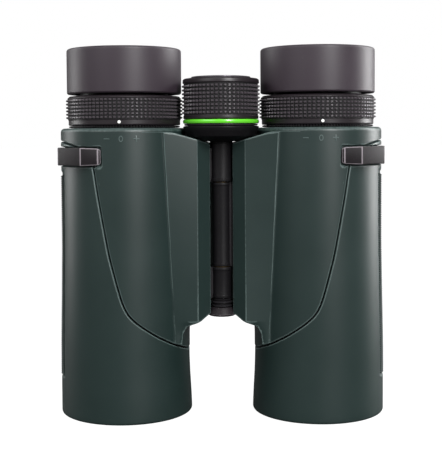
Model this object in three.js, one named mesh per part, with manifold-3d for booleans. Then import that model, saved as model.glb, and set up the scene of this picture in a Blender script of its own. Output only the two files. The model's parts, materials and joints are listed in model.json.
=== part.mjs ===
// Roof-prism binoculars, standing on their objective rims: two barrels joined by a centre hinge.
// Millimetres. +Z runs from the objectives up to the eyepieces, -Y is the side with the focus wheel
// (the top in use), and the origin is under the middle of the bridge, on the plane of the rims.
import * as THREE from "three";
import { mergeVertices } from "three/addons/utils/BufferGeometryUtils.js";
import Module from "manifold-3d";

const wasm = await Module();
wasm.setup();

// ---------------------------------------------------------------- driving dimensions
const IPD = 75; // distance between the optical axes as set
const HINGE_Y = -9; // the hinge and focus axis lies in front of the plane of the optical axes
const GAP = 0.3; // clearance between pieces that touch
const REACH = IPD / 2; // x of the hinge axis, seen from an optical axis

const ROUND = { big: 28, middle: 16, small: 12 }; // facets of a full turn

const ARMOUR = { rim: 25.5, waist: 24.8, body: 24.65, top: 110.2, fillet: 1.6, rimInner: 22.7 };
const TUBE = { front: 23.4, back: 22.5, wall: 1, base: 4, neck: 22, shoulder: 27, top: 107, plate: 2.5 };
const WING = { bottom: 33.4, full: 40.5, ridgeTop: 108.6 };
const OBJECTIVE = { lens: 21.2, cell: 22.1, front: 8, back: 22 };
const PRISM = { cage: 18.2, bottom: 60, top: 97, half: 10 };
const FOCUS_LENS = { radius: 15, z: 50 };
const EYEPIECE = { housing: 19, tube: 15.9, bore: 14.9, base: 107.3, step: 122.3, top: 132.5 };
const OCULAR = { cell: 14.6, lens: 11.6, base: 106.5, top: 133 };
const DIOPTER = { base: 111.3, band: 113.7, knurlTop: 121.3, top: 122.4, outer: 22.5, bandR: 21.6 };
const EYECUP = { base: 123.3, top: 140.6, outer: 22.1, mouth: 17.6 };
const HINGE = { shaft: 2.2, knuckle: 3.7, foot: 4, head: 4.3, bottom: 45.3, low: 57.3, high: 89.6, top: 105.4 };
const WHEEL = { radius: 14.8, base: 111, green: 111.6, band: 113.4, knurl: 115, knurlTop: 126.6, top: 128.6 };
const SEAT = { top: 110.6, rim: 14.2, hub: 5.4, bottom: 105.7 };
const ARM = { width: 3, thickness: 1.3, left: 96.9, right: 98.5, travel: 1.6, collar: 3.1, rodRadius: 19.8, rod: 0.9 };
const WINDOW = { bottom: 94.9, top: 101.8, bore: 3.45 }; // where the focus arms leave the hinge's head
const LUG = { bottom: 96.3, top: 102.9 };

// The seam between the two armour mouldings: [angle from the front towards the hinge, height].
const SEAM = [
  [-90, 105.5], [-45, 103.6], [-24, 97], [-15, 75.5], [-5, 55.5], [3, 43.5], [17, 36.6], [50, 28.4], [90, 24.6],
];
const SEAM_WIDTH = 0.8;

// ---------------------------------------------------------------- finishes
const finish = (color, roughness, metalness = 0, extra = {}) =>
  new THREE.MeshStandardMaterial({ color, roughness, metalness, ...extra });
const GREEN_RUBBER = finish(0x26332f, 0.6);
const BLACK_RUBBER = finish(0x2b282c, 0.65);
const BLACK_METAL = finish(0x1b191c, 0.45, 0.6);
const BLACK_PLASTIC = finish(0x2c292d, 0.55);
const BRIGHT_GREEN = finish(0x5fc52c, 0.3);
const WHITE_PAINT = finish(0xf4f4f2, 0.5);
const STEEL = finish(0x9a9a9c, 0.35, 0.9);
const BRASS = finish(0xb08d4a, 0.4, 0.9);
const GLASS = finish(0x5a6f86, 0.05, 0, { transparent: true, opacity: 0.45 });
const CAP_GREY = finish(0x77747a, 0.4, 0.5);

// ---------------------------------------------------------------- shape helpers
// A turned piece about +Z from [radius, height] pairs, anticlockwise in the radius-height plane.
function turned(profile, facets = ROUND.middle) {
  const points = profile.map(([r, z]) => new THREE.Vector2(r, z));
  if (!(profile[0][0] === 0 && profile.at(-1)[0] === 0)) points.push(points[0].clone());
  return new THREE.LatheGeometry(points, facets).rotateX(Math.PI / 2);
}

const ring = (inner, outer, bottom, top, facets) =>
  turned([[inner, bottom], [outer, bottom], [outer, top], [inner, top]], facets);

const disc = (radius, bottom, top, facets) => turned([[0, bottom], [radius, bottom], [radius, top], [0, top]], facets);

// An upright prism over an outline of [x, y] pairs.
function prism(outline, bottom, top) {
  const shape = new THREE.Shape(outline.map(([x, y]) => new THREE.Vector2(x, y)));
  const depth = top - bottom;
  return new THREE.ExtrudeGeometry(shape, { depth, bevelEnabled: false }).translate(0, 0, bottom);
}

// A straight bar of rectangular section between two points of the ground plane.
function bar([x0, y0], [x1, y1], width, bottom, top) {
  const length = Math.hypot(x1 - x0, y1 - y0);
  return new THREE.BoxGeometry(length, width, top - bottom)
    .rotateZ(Math.atan2(y1 - y0, x1 - x0))
    .translate((x0 + x1) / 2, (y0 + y1) / 2, (bottom + top) / 2);
}

// A closed surface from equal rings of points; the last ring joins the first, or both ends are capped.
function loft(rings, closed) {
  const n = rings[0].length;
  const positions = rings.flat().flatMap((p) => [p.x, p.y, p.z]);
  const index = [];
  const spans = closed ? rings.length : rings.length - 1;
  for (let i = 0; i < spans; i++)
    for (let j = 0; j < n; j++) {
      const a = i * n + j;
      const b = i * n + ((j + 1) % n);
      const c = ((i + 1) % rings.length) * n + j;
      const d = ((i + 1) % rings.length) * n + ((j + 1) % n);
      index.push(a, b, d, a, d, c);
    }
  if (!closed) {
    const flat = (points) => points.map((p) => new THREE.Vector2(p.x, p.y));
    const last = (rings.length - 1) * n;
    for (const [a, b, c] of THREE.ShapeUtils.triangulateShape(flat(rings[0]), [])) index.push(a, c, b);
    for (const [a, b, c] of THREE.ShapeUtils.triangulateShape(flat(rings.at(-1)), []))
      index.push(last + a, last + b, last + c);
  }
  return new THREE.BufferGeometry()
    .setAttribute("position", new THREE.Float32BufferAttribute(positions, 3))
    .setIndex(index);
}

function solid(geometry) {
  const plain = geometry.clone().deleteAttribute("normal").deleteAttribute("uv");
  const merged = mergeVertices(plain, 1e-4);
  return new wasm.Manifold(
    new wasm.Mesh({
      numProp: 3,
      vertProperties: new Float32Array(merged.attributes.position.array),
      triVerts: new Uint32Array(merged.index.array),
    }),
  );
}

function surface(made) {
  const mesh = made.getMesh();
  const geometry = new THREE.BufferGeometry()
    .setAttribute("position", new THREE.Float32BufferAttribute(mesh.vertProperties, 3))
    .setIndex(new THREE.BufferAttribute(mesh.triVerts, 1));
  geometry.computeVertexNormals();
  return geometry;
}

const union = (...shapes) => shapes.map(solid).reduce((a, b) => a.add(b));
const cut = (body, ...tools) => tools.reduce((a, tool) => a.subtract(solid(tool)), body);
const piece = (name, geometry, material) => Object.assign(new THREE.Mesh(geometry, material), { name });
const largest = (made) => made.decompose().sort((a, b) => b.volume() - a.volume())[0];

// ---------------------------------------------------------------- outlines of one barrel
// Barrel frame: z along the optical axis, +x towards the hinge, -y to the front.
const toward = new THREE.Vector2(REACH, HINGE_Y).normalize(); // from the optical axis to the hinge

// The bridge wing of the armour, at a share of its height: the front crease moves in as it climbs.
function wingOutline(share) {
  const ridge = new THREE.Vector2(19.6, -15.8).lerp(new THREE.Vector2(16.2, -19.4), share);
  return [
    [10, -12], [ridge.x - 1.2, ridge.y + 0.4], [ridge.x, ridge.y], [28.6, -16.9], [33.3, -12.4], [32.4, -9],
    [33.4, -5.7], [26.5, -1.5], [22.5, 6], [10, 6],
  ];
}
// The same wing of the metal body, which fills the armour's wing and is bare towards the hinge.
const WEB = [
  [10, -11], [17.6, -13.2], [27.9, -15.1], [32.2, -11.3], [32.6, -9], [32.2, -6.9], [26.3, -3.4], [18, 2], [10, 2],
];

// Where the wing's lower end rises out of the barrel: share of its full reach at each height.
const WING_RISE = [[WING.bottom, 0], [34.9, 0.12], [36.3, 0.46], [38.7, 0.86], [WING.full, 1]];

function wingBody(outlineAt, inset) {
  const centre = new THREE.Vector2(14, -5); // inside the barrel, where the wing starts from
  const level = (z, share) => {
    const climb = (z - WING.bottom) / (WING.ridgeTop - WING.bottom);
    return outlineAt(climb).map(([x, y]) => {
      const p = new THREE.Vector2(x, y).sub(centre).multiplyScalar(0.35 + 0.65 * share).add(centre);
      return new THREE.Vector3(p.x, p.y, z);
    });
  };
  const rings = WING_RISE.map(([z, share]) => level(z + inset, share));
  rings.push(level(WING.ridgeTop + 2, 1));
  return loft(rings, false);
}

// The dished space over the bridge, about the hinge axis, which the wheel's seat stands in.
const dish = (drop = 0) =>
  turned(
    [
      [0, 104.5 - drop], [6, 104.5 - drop], [12.3, 106 - drop], [20.6, WING.ridgeTop - drop],
      [32, WING.ridgeTop - drop], [32, 118], [0, 118],
    ],
    ROUND.middle,
  ).translate(REACH, HINGE_Y, 0);

// A wall that follows the seam all round the barrel and parts the armour in two.
function seamBlade() {
  const front = new THREE.SplineCurve(SEAM.map(([angle, z]) => new THREE.Vector2(angle, z)));
  const steps = 14;
  const arc = THREE.MathUtils.degToRad(1) * ARMOUR.body;
  const stations = [];
  for (let i = 0; i <= steps; i++) {
    const t = i / steps;
    const at = front.getPoint(t);
    const run = front.getTangent(t);
    const along = new THREE.Vector2(run.x * arc, run.y).normalize();
    stations.push({ angle: at.x, z: at.y, across: new THREE.Vector2(-along.y / arc, along.x) });
  }
  stations[0].across.x = 0;
  stations[steps].across.x = 0;
  const back = stations
    .slice(1, -1)
    .reverse()
    .map((s) => ({ angle: 180 - s.angle, z: s.z, across: new THREE.Vector2(-s.across.x, s.across.y) }));
  const rings = [...stations, ...back].map(({ angle, z, across }) =>
    [[21, 1], [30, 1], [30, -1], [21, -1]].map(([r, sign]) => {
      const phi = THREE.MathUtils.degToRad(angle + (sign * across.x * SEAM_WIDTH) / 2);
      const height = z + (sign * across.y * SEAM_WIDTH) / 2;
      return new THREE.Vector3(r * Math.sin(phi), -r * Math.cos(phi), height);
    }),
  );
  return loft(rings, true);
}

// Outline of the strap lug across the barrel's outer front quarter, outer face then inner face.
const LUG_OUTER = [[-6.8, -23.3], [-14.2, -23.9], [-24.3, -15.6], [-25.6, -7], [-25.6, 1.5], [-23.6, 4.5]];
const LUG_INNER = [[-23.1, 1.2], [-23.9, -1], [-23.5, -6.6], [-22.2, -14.6], [-13.9, -21.5], [-11.2, -21.2], [-7, -22.3]];
const lugOutline = [...LUG_OUTER, ...LUG_INNER];

// ---------------------------------------------------------------- pieces of one barrel
function metalBody(knuckles, armBottom) {
  const shell = turned(
    [
      [TUBE.front - TUBE.wall, TUBE.base], [TUBE.front, TUBE.base], [TUBE.front, TUBE.neck],
      [TUBE.back, TUBE.shoulder], [TUBE.back, TUBE.top], [15.3, TUBE.top], [15.3, TUBE.top - TUBE.plate],
      [TUBE.back - TUBE.wall, TUBE.top - TUBE.plate], [TUBE.back - TUBE.wall, TUBE.shoulder],
      [TUBE.front - TUBE.wall, TUBE.neck],
    ],
    ROUND.big,
  );
  const inside = disc(TUBE.back - TUBE.wall, TUBE.shoulder, TUBE.top - TUBE.plate, ROUND.big);
  const web = wingBody(() => WEB, 1.6);
  const lugs = knuckles.flatMap(({ bottom, top, radius }) => [
    disc(radius, bottom, top, ROUND.middle).translate(REACH, HINGE_Y, 0),
    bar([REACH, HINGE_Y], [29, HINGE_Y], 4, bottom, Math.min(top, 102.3)),
  ]);
  const above = disc(TUBE.back + 1.2, TUBE.top, 120, ROUND.big);
  const bore = disc(15.3, TUBE.shoulder, 120, ROUND.middle);
  const wing = cut(solid(web), inside, bore, above, dish(1.9));
  let made = wing.add(solid(shell));
  const others = disc(4.8, 0, 130, ROUND.middle).translate(REACH, HINGE_Y, 0);
  made = cut(made, others);
  for (const lug of lugs) made = made.add(solid(lug));
  const inner = toward.clone().multiplyScalar(17);
  const low = armBottom - ARM.travel - GAP;
  const high = armBottom + ARM.thickness + ARM.travel + GAP;
  const slot = bar([inner.x, inner.y], [REACH, HINGE_Y], ARM.width + 0.8, low, high);
  const shaft = disc(HINGE.shaft + GAP, 0, 130, ROUND.small);
  const chamber = disc(WINDOW.bore, WINDOW.bottom, 130, ROUND.middle);
  const atHinge = [shaft, chamber, armWindow()].map((g) => g.translate(REACH, HINGE_Y, 0));
  return cut(made, slot, ...atHinge);
}

// The side of the hinge's head that the other barrel's focus arm sweeps as the hinge folds.
function armWindow() {
  const sweep = [-28, 10, 42, 74, 104].map((angle) => {
    const a = THREE.MathUtils.degToRad(angle);
    return [8 * Math.cos(a), 8 * Math.sin(a)];
  });
  return prism([[0, 0], ...sweep], WINDOW.bottom, WINDOW.top);
}

function armourShells() {
  const profile = [
    [ARMOUR.rimInner, 0], [ARMOUR.rim - 0.6, 0], [ARMOUR.rim, 0.8], [ARMOUR.rim, 5], [25.2, 12],
    [ARMOUR.waist, 20], [ARMOUR.body, 34], [ARMOUR.body, ARMOUR.top - ARMOUR.fillet],
    [ARMOUR.body - 0.5, ARMOUR.top - 0.45], [ARMOUR.body - ARMOUR.fillet, ARMOUR.top],
    [20.6, ARMOUR.top], [20.6, TUBE.top + GAP], [TUBE.back + GAP, TUBE.top + GAP],
    [TUBE.back + GAP, TUBE.shoulder], [TUBE.front + GAP, TUBE.neck], [TUBE.front + GAP, TUBE.base - GAP],
    [ARMOUR.rimInner, TUBE.base - GAP],
  ];
  const sleeve = solid(turned(profile, ROUND.big));
  const bore = turned(
    [
      [0, TUBE.base], [TUBE.front + GAP, TUBE.base], [TUBE.front + GAP, TUBE.neck],
      [TUBE.back + GAP, TUBE.shoulder], [TUBE.back + GAP, TUBE.top + GAP], [20.6, TUBE.top + GAP],
      [20.6, 120], [0, 120],
    ],
    ROUND.big,
  );
  const open = WEB.map(([x, y]) => [x > 30 ? x + 3 : x, y]);
  const core = (dx, dy) => cut(solid(wingBody(() => open, 1.1).translate(dx, dy, 0)), dish(1.6));
  const wing = cut(solid(wingBody(wingOutline, 0)), bore, dish());
  const hinge = disc(5.1, 0, 130, ROUND.middle).translate(REACH, HINGE_Y, 0);
  const channel = ring(23.2, 30, 94.6, 104.4, ROUND.big);
  const quarter = prism([[-11.5, -30], [-30, -30], [-30, -0.6], [-20, -0.6], [-11.5, -16]], 94, 105);
  const strapChannel = solid(channel).intersect(solid(quarter));
  const hollow = core(0, -GAP).add(core(0, GAP)).add(core(GAP, 0));
  const whole = cut(sleeve.add(wing).subtract(hollow), hinge).subtract(strapChannel);
  const seated = cut(whole, prism(grownLug(), LUG.bottom - GAP, LUG.top + GAP));
  const parts = cut(seated, seamBlade()).decompose();
  parts.sort((a, b) => b.volume() - a.volume());
  const middle = (made) => (made.boundingBox().min[2] + made.boundingBox().max[2]) / 2;
  const [one, two] = parts;
  return middle(one) > middle(two) ? { body: one, grip: two } : { body: two, grip: one };
}

// The lug's outline with a clearance all round, for its two pockets in the armour.
function grownLug() {
  const outward = (list, step) =>
    list.map(([x, y]) => {
      const radius = Math.hypot(x, y);
      return [x * (1 + step / radius), y * (1 + step / radius)];
    });
  const ends = [[-22.6, 5.1], [-22.4, 1.4]];
  return [
    [-6.2, -22.6], [-6.3, -24.2], ...outward(LUG_OUTER.slice(1, -1), GAP), [-23.9, 5.2], ...ends,
    ...outward(LUG_INNER.slice(1, -1), -GAP), [-7, -21.9],
  ];
}

// A lens about the optical axis with spherical faces; a positive bulge rises away from the glass.
function lens(radius, bottom, top, bulgeBottom, bulgeTop) {
  const steps = 2;
  const face = (z, bulge) =>
    Array.from({ length: steps + 1 }, (_, i) => [(radius * i) / steps, z + bulge * (1 - (i / steps) ** 2)]);
  return turned([...face(bottom, -bulgeBottom), ...face(top, bulgeTop).reverse()], ROUND.middle);
}

function objectiveGroup(side) {
  const cell = turned(
    [
      [21.5, OBJECTIVE.front], [OBJECTIVE.cell, OBJECTIVE.front], [OBJECTIVE.cell, OBJECTIVE.back],
      [20, OBJECTIVE.back], [20, 20.4], [21.5, 20.4],
    ],
  );
  return [
    piece(`${side}_objective_cell`, cell, BLACK_METAL),
    piece(`${side}_objective_retainer`, ring(20.2, 21.2, 8.3, 9.6), BLACK_METAL),
    piece(`${side}_objective_crown_lens`, lens(OBJECTIVE.lens, 11.6, 13.4, 1.5, 2.2), GLASS),
    piece(`${side}_objective_flint_lens`, lens(OBJECTIVE.lens, 13.8, 18.6, -2.2, -0.8), GLASS),
  ];
}

function prismGroup(side) {
  const { cage, bottom, top, half } = PRISM;
  const frame = turned([
    [9.5, bottom], [cage, bottom], [cage, top], [9.5, top], [9.5, top - 1.2], [cage - 1.2, top - 1.2],
    [cage - 1.2, bottom + 1.2], [9.5, bottom + 1.2],
  ]);
  // Each prism is an extrusion along y of its outline in the plane of the folded light path.
  const block = (outline) => prism(outline, -half, half).rotateX(Math.PI / 2);
  const slope = Math.tan(THREE.MathUtils.degToRad(22.5)) * 13;
  const middle = (bottom + top) / 2 - 2;
  const halfPenta = [[-11, bottom + 1.6], [11, bottom + 1.6], [13, middle - slope], [-13, middle + slope], [-13, 67]];
  const roof = [
    [-13, middle + slope + 0.5], [13, middle - slope + 0.5], [13, 84], [9.8, top - 1.6], [-9.8, top - 1.6], [-13, 90],
  ];
  return [
    piece(`${side}_prism_cage`, frame, BLACK_METAL),
    piece(`${side}_half_penta_prism`, block(halfPenta), GLASS),
    piece(`${side}_roof_prism`, block(roof), GLASS),
  ];
}

function focusGroup(side, armBottom) {
  const hinge = [REACH, HINGE_Y];
  const rodAt = toward.clone().multiplyScalar(ARM.rodRadius);
  const armTop = armBottom + ARM.thickness;
  const collar = disc(ARM.collar, armBottom, armTop, ROUND.middle).translate(...hinge, 0);
  const beam = bar([rodAt.x, rodAt.y], hinge, ARM.width, armBottom, armTop);
  const rod = disc(ARM.rod, FOCUS_LENS.z - 1.5, armBottom + 0.5, ROUND.small).translate(rodAt.x, rodAt.y, 0);
  const arm = cut(union(collar, beam, rod), disc(2.6, 90, 110, ROUND.small).translate(...hinge, 0));
  const ear = bar([16.5 * toward.x, 16.5 * toward.y], [20.9 * toward.x, 20.9 * toward.y], 3.6, 47, 52);
  const hole = disc(ARM.rod + GAP, FOCUS_LENS.z - 2, 60, ROUND.small).translate(rodAt.x, rodAt.y, 0);
  const cell = cut(union(ring(15.3, 17.4, 47, 54), ear), hole);
  return [
    piece(`${side}_focus_arm`, surface(arm), STEEL),
    piece(`${side}_focusing_lens_cell`, surface(cell), BLACK_METAL),
    piece(`${side}_focusing_lens`, lens(FOCUS_LENS.radius, 48.4, 52.4, -0.6, -0.8), GLASS),
  ];
}

function eyepieceGroup(side) {
  const { housing, tube, bore, base, step, top } = EYEPIECE;
  const shell = turned([[bore, base], [housing, base], [housing, step], [tube, step], [tube, top], [bore, top]]);
  const cell = turned([
    [OCULAR.lens + GAP, OCULAR.base], [OCULAR.cell, OCULAR.base], [OCULAR.cell, OCULAR.top],
    [10.8, OCULAR.top], [10.8, OCULAR.top - 0.6], [OCULAR.lens + GAP, OCULAR.top - 1.2],
  ]);
  return [
    piece(`${side}_eyepiece_housing`, shell, BLACK_METAL),
    piece(`${side}_ocular_cell`, cell, BLACK_METAL),
    piece(`${side}_field_lens`, lens(OCULAR.lens, 108.4, 110.8, 1.2, 0.6), GLASS),
    piece(`${side}_ocular_doublet`, lens(OCULAR.lens, 116, 121.5, 1.6, 1.6), GLASS),
    piece(`${side}_eye_lens`, lens(OCULAR.lens, 128.2, 130.4, 0.6, 1.3), GLASS),
  ];
}

function diopterGroup(side) {
  const { base, band, knurlTop, top, outer, bandR } = DIOPTER;
  const dotAt = (base + band) / 2;
  const dot = (radius, inner, reach) =>
    new THREE.CylinderGeometry(radius, radius, reach, 12).translate(0, -(inner + reach / 2), 0).translate(0, 0, dotAt);
  const body = turned(
    [
      [housingBore(), base], [bandR - 0.5, base], [bandR, base + 0.5], [bandR, band], [outer, band + 0.1],
      [outer, knurlTop], [21.2, top], [housingBore(), top],
    ],
    ROUND.big,
  );
  return [
    piece(`${side}_diopter_ring`, surface(cut(solid(body), dot(0.95, bandR - 0.9, 3))), BLACK_RUBBER),
    piece(`${side}_index_dot`, dot(0.6, bandR - 0.5, 0.6), WHITE_PAINT),
  ];
}
const housingBore = () => EYEPIECE.housing + 0.4;

function eyecupGroup(side) {
  const { base, top, outer, mouth } = EYECUP;
  const rubber = turned(
    [
      [19, base], [outer - 0.3, base], [outer, base + 0.6], [outer, top - 1.2], [outer - 0.4, top - 0.4],
      [outer - 1.3, top], [mouth, top], [mouth - 0.6, top - 0.8], [mouth, top - 2.4], [19, top - 2.4],
    ],
    ROUND.big,
  );
  return [
    piece(`${side}_eyecup_guide`, ring(16.3, 17, step(), 134, ROUND.big), BLACK_METAL),
    piece(`${side}_eyecup_sleeve`, ring(17.5, 18.7, base + 0.2, top - 2.7, ROUND.big), BLACK_PLASTIC),
    piece(`${side}_eyecup_rubber`, rubber, BLACK_RUBBER),
  ];
}
const step = () => EYEPIECE.step + 0.4;

function barrel(side, knuckles, armBottom) {
  const group = new THREE.Group();
  const shells = armourShells();
  const lug = prism(lugOutline, LUG.bottom, LUG.top);
  group.add(
    piece(`${side}_barrel_body`, surface(metalBody(knuckles, armBottom)), BLACK_METAL),
    piece(`${side}_bridge_armour`, surface(shells.body), GREEN_RUBBER),
    piece(`${side}_grip_armour`, surface(shells.grip), GREEN_RUBBER),
    piece(`${side}_strap_lug`, lug, BLACK_PLASTIC),
    ...objectiveGroup(side),
    ...prismGroup(side),
    ...focusGroup(side, armBottom),
    ...eyepieceGroup(side),
    ...diopterGroup(side),
    ...eyecupGroup(side),
  );
  const hand = side === "left" ? 1 : -1; // the right barrel is the left one mirrored
  group.scale.x = hand;
  group.position.x = (-hand * IPD) / 2;
  return group;
}

// ---------------------------------------------------------------- hinge and focus wheel
function centre() {
  const group = new THREE.Group();
  const { shaft, knuckle, foot, bottom, low, high } = HINGE;
  const washer = (z) => ring(shaft + GAP, knuckle + 0.2, z - 0.3, z + 0.3, ROUND.small);
  const endCap = turned([[0, 38.6], [5.2, 38.6], [5.8, 39.4], [4.3, 41.8], [0, 41.8]]);
  const pin = disc(shaft, 42.1, WINDOW.bottom, ROUND.small);
  const seat = turned([
    [1.9, SEAT.bottom], [SEAT.hub, SEAT.bottom], [6.2, 107.6], [11.5, 109], [SEAT.rim, SEAT.top - 0.6],
    [SEAT.rim, SEAT.top], [3.9, SEAT.top], [3.9, 119.6], [1.9, 119.6],
  ]);
  const wheel = turned(
    [
      [4.3, WHEEL.base], [14, WHEEL.base], [14, WHEEL.green], [12.9, WHEEL.green], [12.9, WHEEL.band],
      [14.2, WHEEL.band], [14.2, WHEEL.knurl], [WHEEL.radius, WHEEL.knurl], [WHEEL.radius, WHEEL.knurlTop],
      [14.2, WHEEL.knurlTop + 0.4], [14.2, WHEEL.top], [1.8, WHEEL.top], [1.8, 120], [4.3, 120],
    ],
    ROUND.big,
  );
  group.add(
    piece("hinge_shaft", pin, STEEL),
    piece("hinge_end_cap", endCap, BLACK_PLASTIC),
    piece("hinge_spacer", ring(shaft + GAP, foot + 0.3, 42.2, bottom - GAP, ROUND.middle), BLACK_METAL),
    piece("hinge_washer_lower", washer(low), BRASS),
    piece("hinge_washer_upper", washer(high), BRASS),
    piece("wheel_seat", seat, BLACK_METAL),
    piece("focus_wheel", wheel, BLACK_RUBBER),
    piece("focus_wheel_ring", ring(13.2, 14.5, WHEEL.green + GAP, WHEEL.band - GAP, ROUND.big), BRIGHT_GREEN),
    piece("focus_wheel_cap", disc(11.3, WHEEL.top + GAP, WHEEL.top + 0.9, ROUND.middle), CAP_GREY),
    piece("focus_screw", disc(1.5, WINDOW.bottom + GAP, WHEEL.top, ROUND.small), STEEL),
    piece("focus_nut", ring(1.8, 2.3, ARM.left, ARM.right + ARM.thickness, ROUND.small), BRASS),
  );
  group.position.y = HINGE_Y;
  return group;
}

const LEFT_KNUCKLES = [
  { bottom: HINGE.bottom, top: HINGE.low - 0.6, radius: HINGE.foot },
  { bottom: HINGE.high + 0.6, top: HINGE.top, radius: HINGE.head },
];
const RIGHT_KNUCKLES = [{ bottom: HINGE.low + 0.6, top: HINGE.high - 0.6, radius: HINGE.knuckle }];

const binoculars = new THREE.Group();
binoculars.add(
  barrel("left", LEFT_KNUCKLES, ARM.left),
  barrel("right", RIGHT_KNUCKLES, ARM.right),
  centre(),
);

export default binoculars;
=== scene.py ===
"""Fine surfaces and finishes for a pair of roof-prism binoculars.

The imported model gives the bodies, joints and hidden pieces. This file lays the visible skins over
it: rubber armour with its parting groove, knurled wheel and rings, eyecups, strap lugs, hinge and
coated lenses. Sizes are in millimetres and turned into metres when a mesh is made. A barrel is
drawn in its own frame, with its optical axis at x = 0 and the hinge on the +x side, and the right
barrel is the left one mirrored.
"""
import json
import logging
import math
from dataclasses import dataclass
from enum import Enum

import bmesh
import bpy
import numpy as np
from bpy.types import Material, Mesh, Node, NodeSocket, NodeTree
from mathutils import Matrix, Vector


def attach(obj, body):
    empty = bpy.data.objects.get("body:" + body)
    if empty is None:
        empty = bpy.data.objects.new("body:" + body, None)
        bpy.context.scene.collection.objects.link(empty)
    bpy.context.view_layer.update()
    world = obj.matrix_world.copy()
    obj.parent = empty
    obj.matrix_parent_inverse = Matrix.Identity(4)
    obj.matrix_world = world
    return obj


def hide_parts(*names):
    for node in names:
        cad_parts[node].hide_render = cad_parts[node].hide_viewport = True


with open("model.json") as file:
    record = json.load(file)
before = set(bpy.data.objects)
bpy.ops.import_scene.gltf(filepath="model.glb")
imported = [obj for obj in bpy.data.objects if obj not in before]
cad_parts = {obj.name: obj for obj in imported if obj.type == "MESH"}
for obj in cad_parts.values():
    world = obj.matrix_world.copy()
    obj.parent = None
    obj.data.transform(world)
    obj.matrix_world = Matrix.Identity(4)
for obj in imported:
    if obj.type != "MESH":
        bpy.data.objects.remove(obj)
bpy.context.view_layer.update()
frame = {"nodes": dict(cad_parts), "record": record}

log = logging.getLogger("binoculars")
MM = 0.001
MERGE_DISTANCE = 4e-7
SLIVER_LENGTH = 2e-7
EYE_WIDTH = 75.0
HINGE_Y = -9.0
HINGE_AXIS = (0.0, HINGE_Y)
WAIST_RADIUS = 24.65
DEGREE_ARC = math.radians(1) * WAIST_RADIUS
FULL_TURN = 2 * math.pi
QUARTER_TURN = math.pi / 2

Pair = tuple[float, float]
Corner = tuple[float, float, float]
Box = tuple[float, float, float, float]
Shade = tuple[int, int, int]


class Side(Enum):
    """The barrel seen on the left or on the right from the front."""

    LEFT = "left"
    RIGHT = "right"

    @property
    def hand(self) -> float:
        """1 for the left barrel, -1 for the right one, which is its mirror image."""
        return 1.0 if self is Side.LEFT else -1.0

    @property
    def axis_x(self) -> float:
        """Where the barrel's optical axis stands across the binoculars."""
        return -self.hand * EYE_WIDTH / 2

    def place(self, points: np.ndarray) -> np.ndarray:
        """Takes points from the barrel's own frame to the binoculars' frame.

        Args:
            points: an array whose last axis is x, y, z in millimetres.
        Returns:
            A new array of the same shape.
        """
        placed = np.array(points, dtype=float)
        placed[..., 0] = self.axis_x + self.hand * placed[..., 0]
        return placed


# ------------------------------------------------------------------ meshes
class Patch:
    """Vertices in millimetres with the faces that join them."""

    def __init__(self) -> None:
        """Starts empty."""
        self.verts: list[Corner] = []
        self.faces: list[tuple[int, ...]] = []

    def grid(self, rings: np.ndarray, close_rows: bool = False, caps: bool = False) -> "Patch":
        """Joins rings of points into a skin.

        Args:
            rings: an array of rows by columns by 3; every row is a closed ring.
            close_rows: joins the last ring to the first one.
            caps: closes the first and the last ring with a face each.
        Returns:
            The patch itself.
        """
        rows, cols, _ = rings.shape
        base = len(self.verts)
        self.verts.extend(map(tuple, rings.reshape(-1, 3)))
        for i in range(rows if close_rows else rows - 1):
            a = base + i * cols
            b = base + ((i + 1) % rows) * cols
            for j in range(cols):
                k = (j + 1) % cols
                self.faces.append((a + j, a + k, b + k, b + j))
        if caps:
            self.faces.append(tuple(base + cols - 1 - j for j in range(cols)))
            last = base + (rows - 1) * cols
            self.faces.append(tuple(last + j for j in range(cols)))
        return self

    def lathe(self, profile: list[Pair], centre: Pair, steps: int) -> "Patch":
        """Turns a profile about an upright axis.

        Args:
            profile: radius and height pairs that start and end on the axis, or close on themselves.
            centre: x and y of the axis.
            steps: facets of a full turn.
        Returns:
            The patch itself.
        """
        turn = np.linspace(0, FULL_TURN, steps, endpoint=False)
        line = np.array(profile, dtype=float)
        rings = np.empty((len(line), steps, 3))
        rings[..., 0] = centre[0] + line[:, :1] * np.cos(turn)
        rings[..., 1] = centre[1] + line[:, :1] * np.sin(turn)
        rings[..., 2] = line[:, 1:]
        on_axis = line[0, 0] == 0 and line[-1, 0] == 0
        return self.grid(rings, close_rows=not on_axis)

    def join(self, other: "Patch") -> "Patch":
        """Adds another patch's faces to this one and returns it."""
        base = len(self.verts)
        self.verts.extend(other.verts)
        self.faces.extend(tuple(base + i for i in face) for face in other.faces)
        return self

    def mesh(self, name: str, sharp: float = 32.0, full_bend: float = 50.0) -> Mesh:
        """Makes the mesh in metres, with merged doubles, outward faces and an edge attribute.

        Args:
            name: the mesh's name.
            sharp: the angle in degrees past which an edge is shaded sharp.
            full_bend: the angle in degrees between faces that counts as a full edge.
        Returns:
            The new mesh.
        """
        mesh = bpy.data.meshes.new(name)
        verts = np.array(self.verts) * MM
        mesh.from_pydata(verts.tolist(), [], self.faces)
        bm = bmesh.new()
        bm.from_mesh(mesh)
        bmesh.ops.remove_doubles(bm, verts=bm.verts, dist=MERGE_DISTANCE)
        bmesh.ops.dissolve_degenerate(bm, dist=SLIVER_LENGTH, edges=bm.edges)
        bmesh.ops.recalc_face_normals(bm, faces=bm.faces)
        bm.to_mesh(mesh)
        bm.free()
        finish_mesh(mesh, sharp, full_bend)
        return mesh


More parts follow.
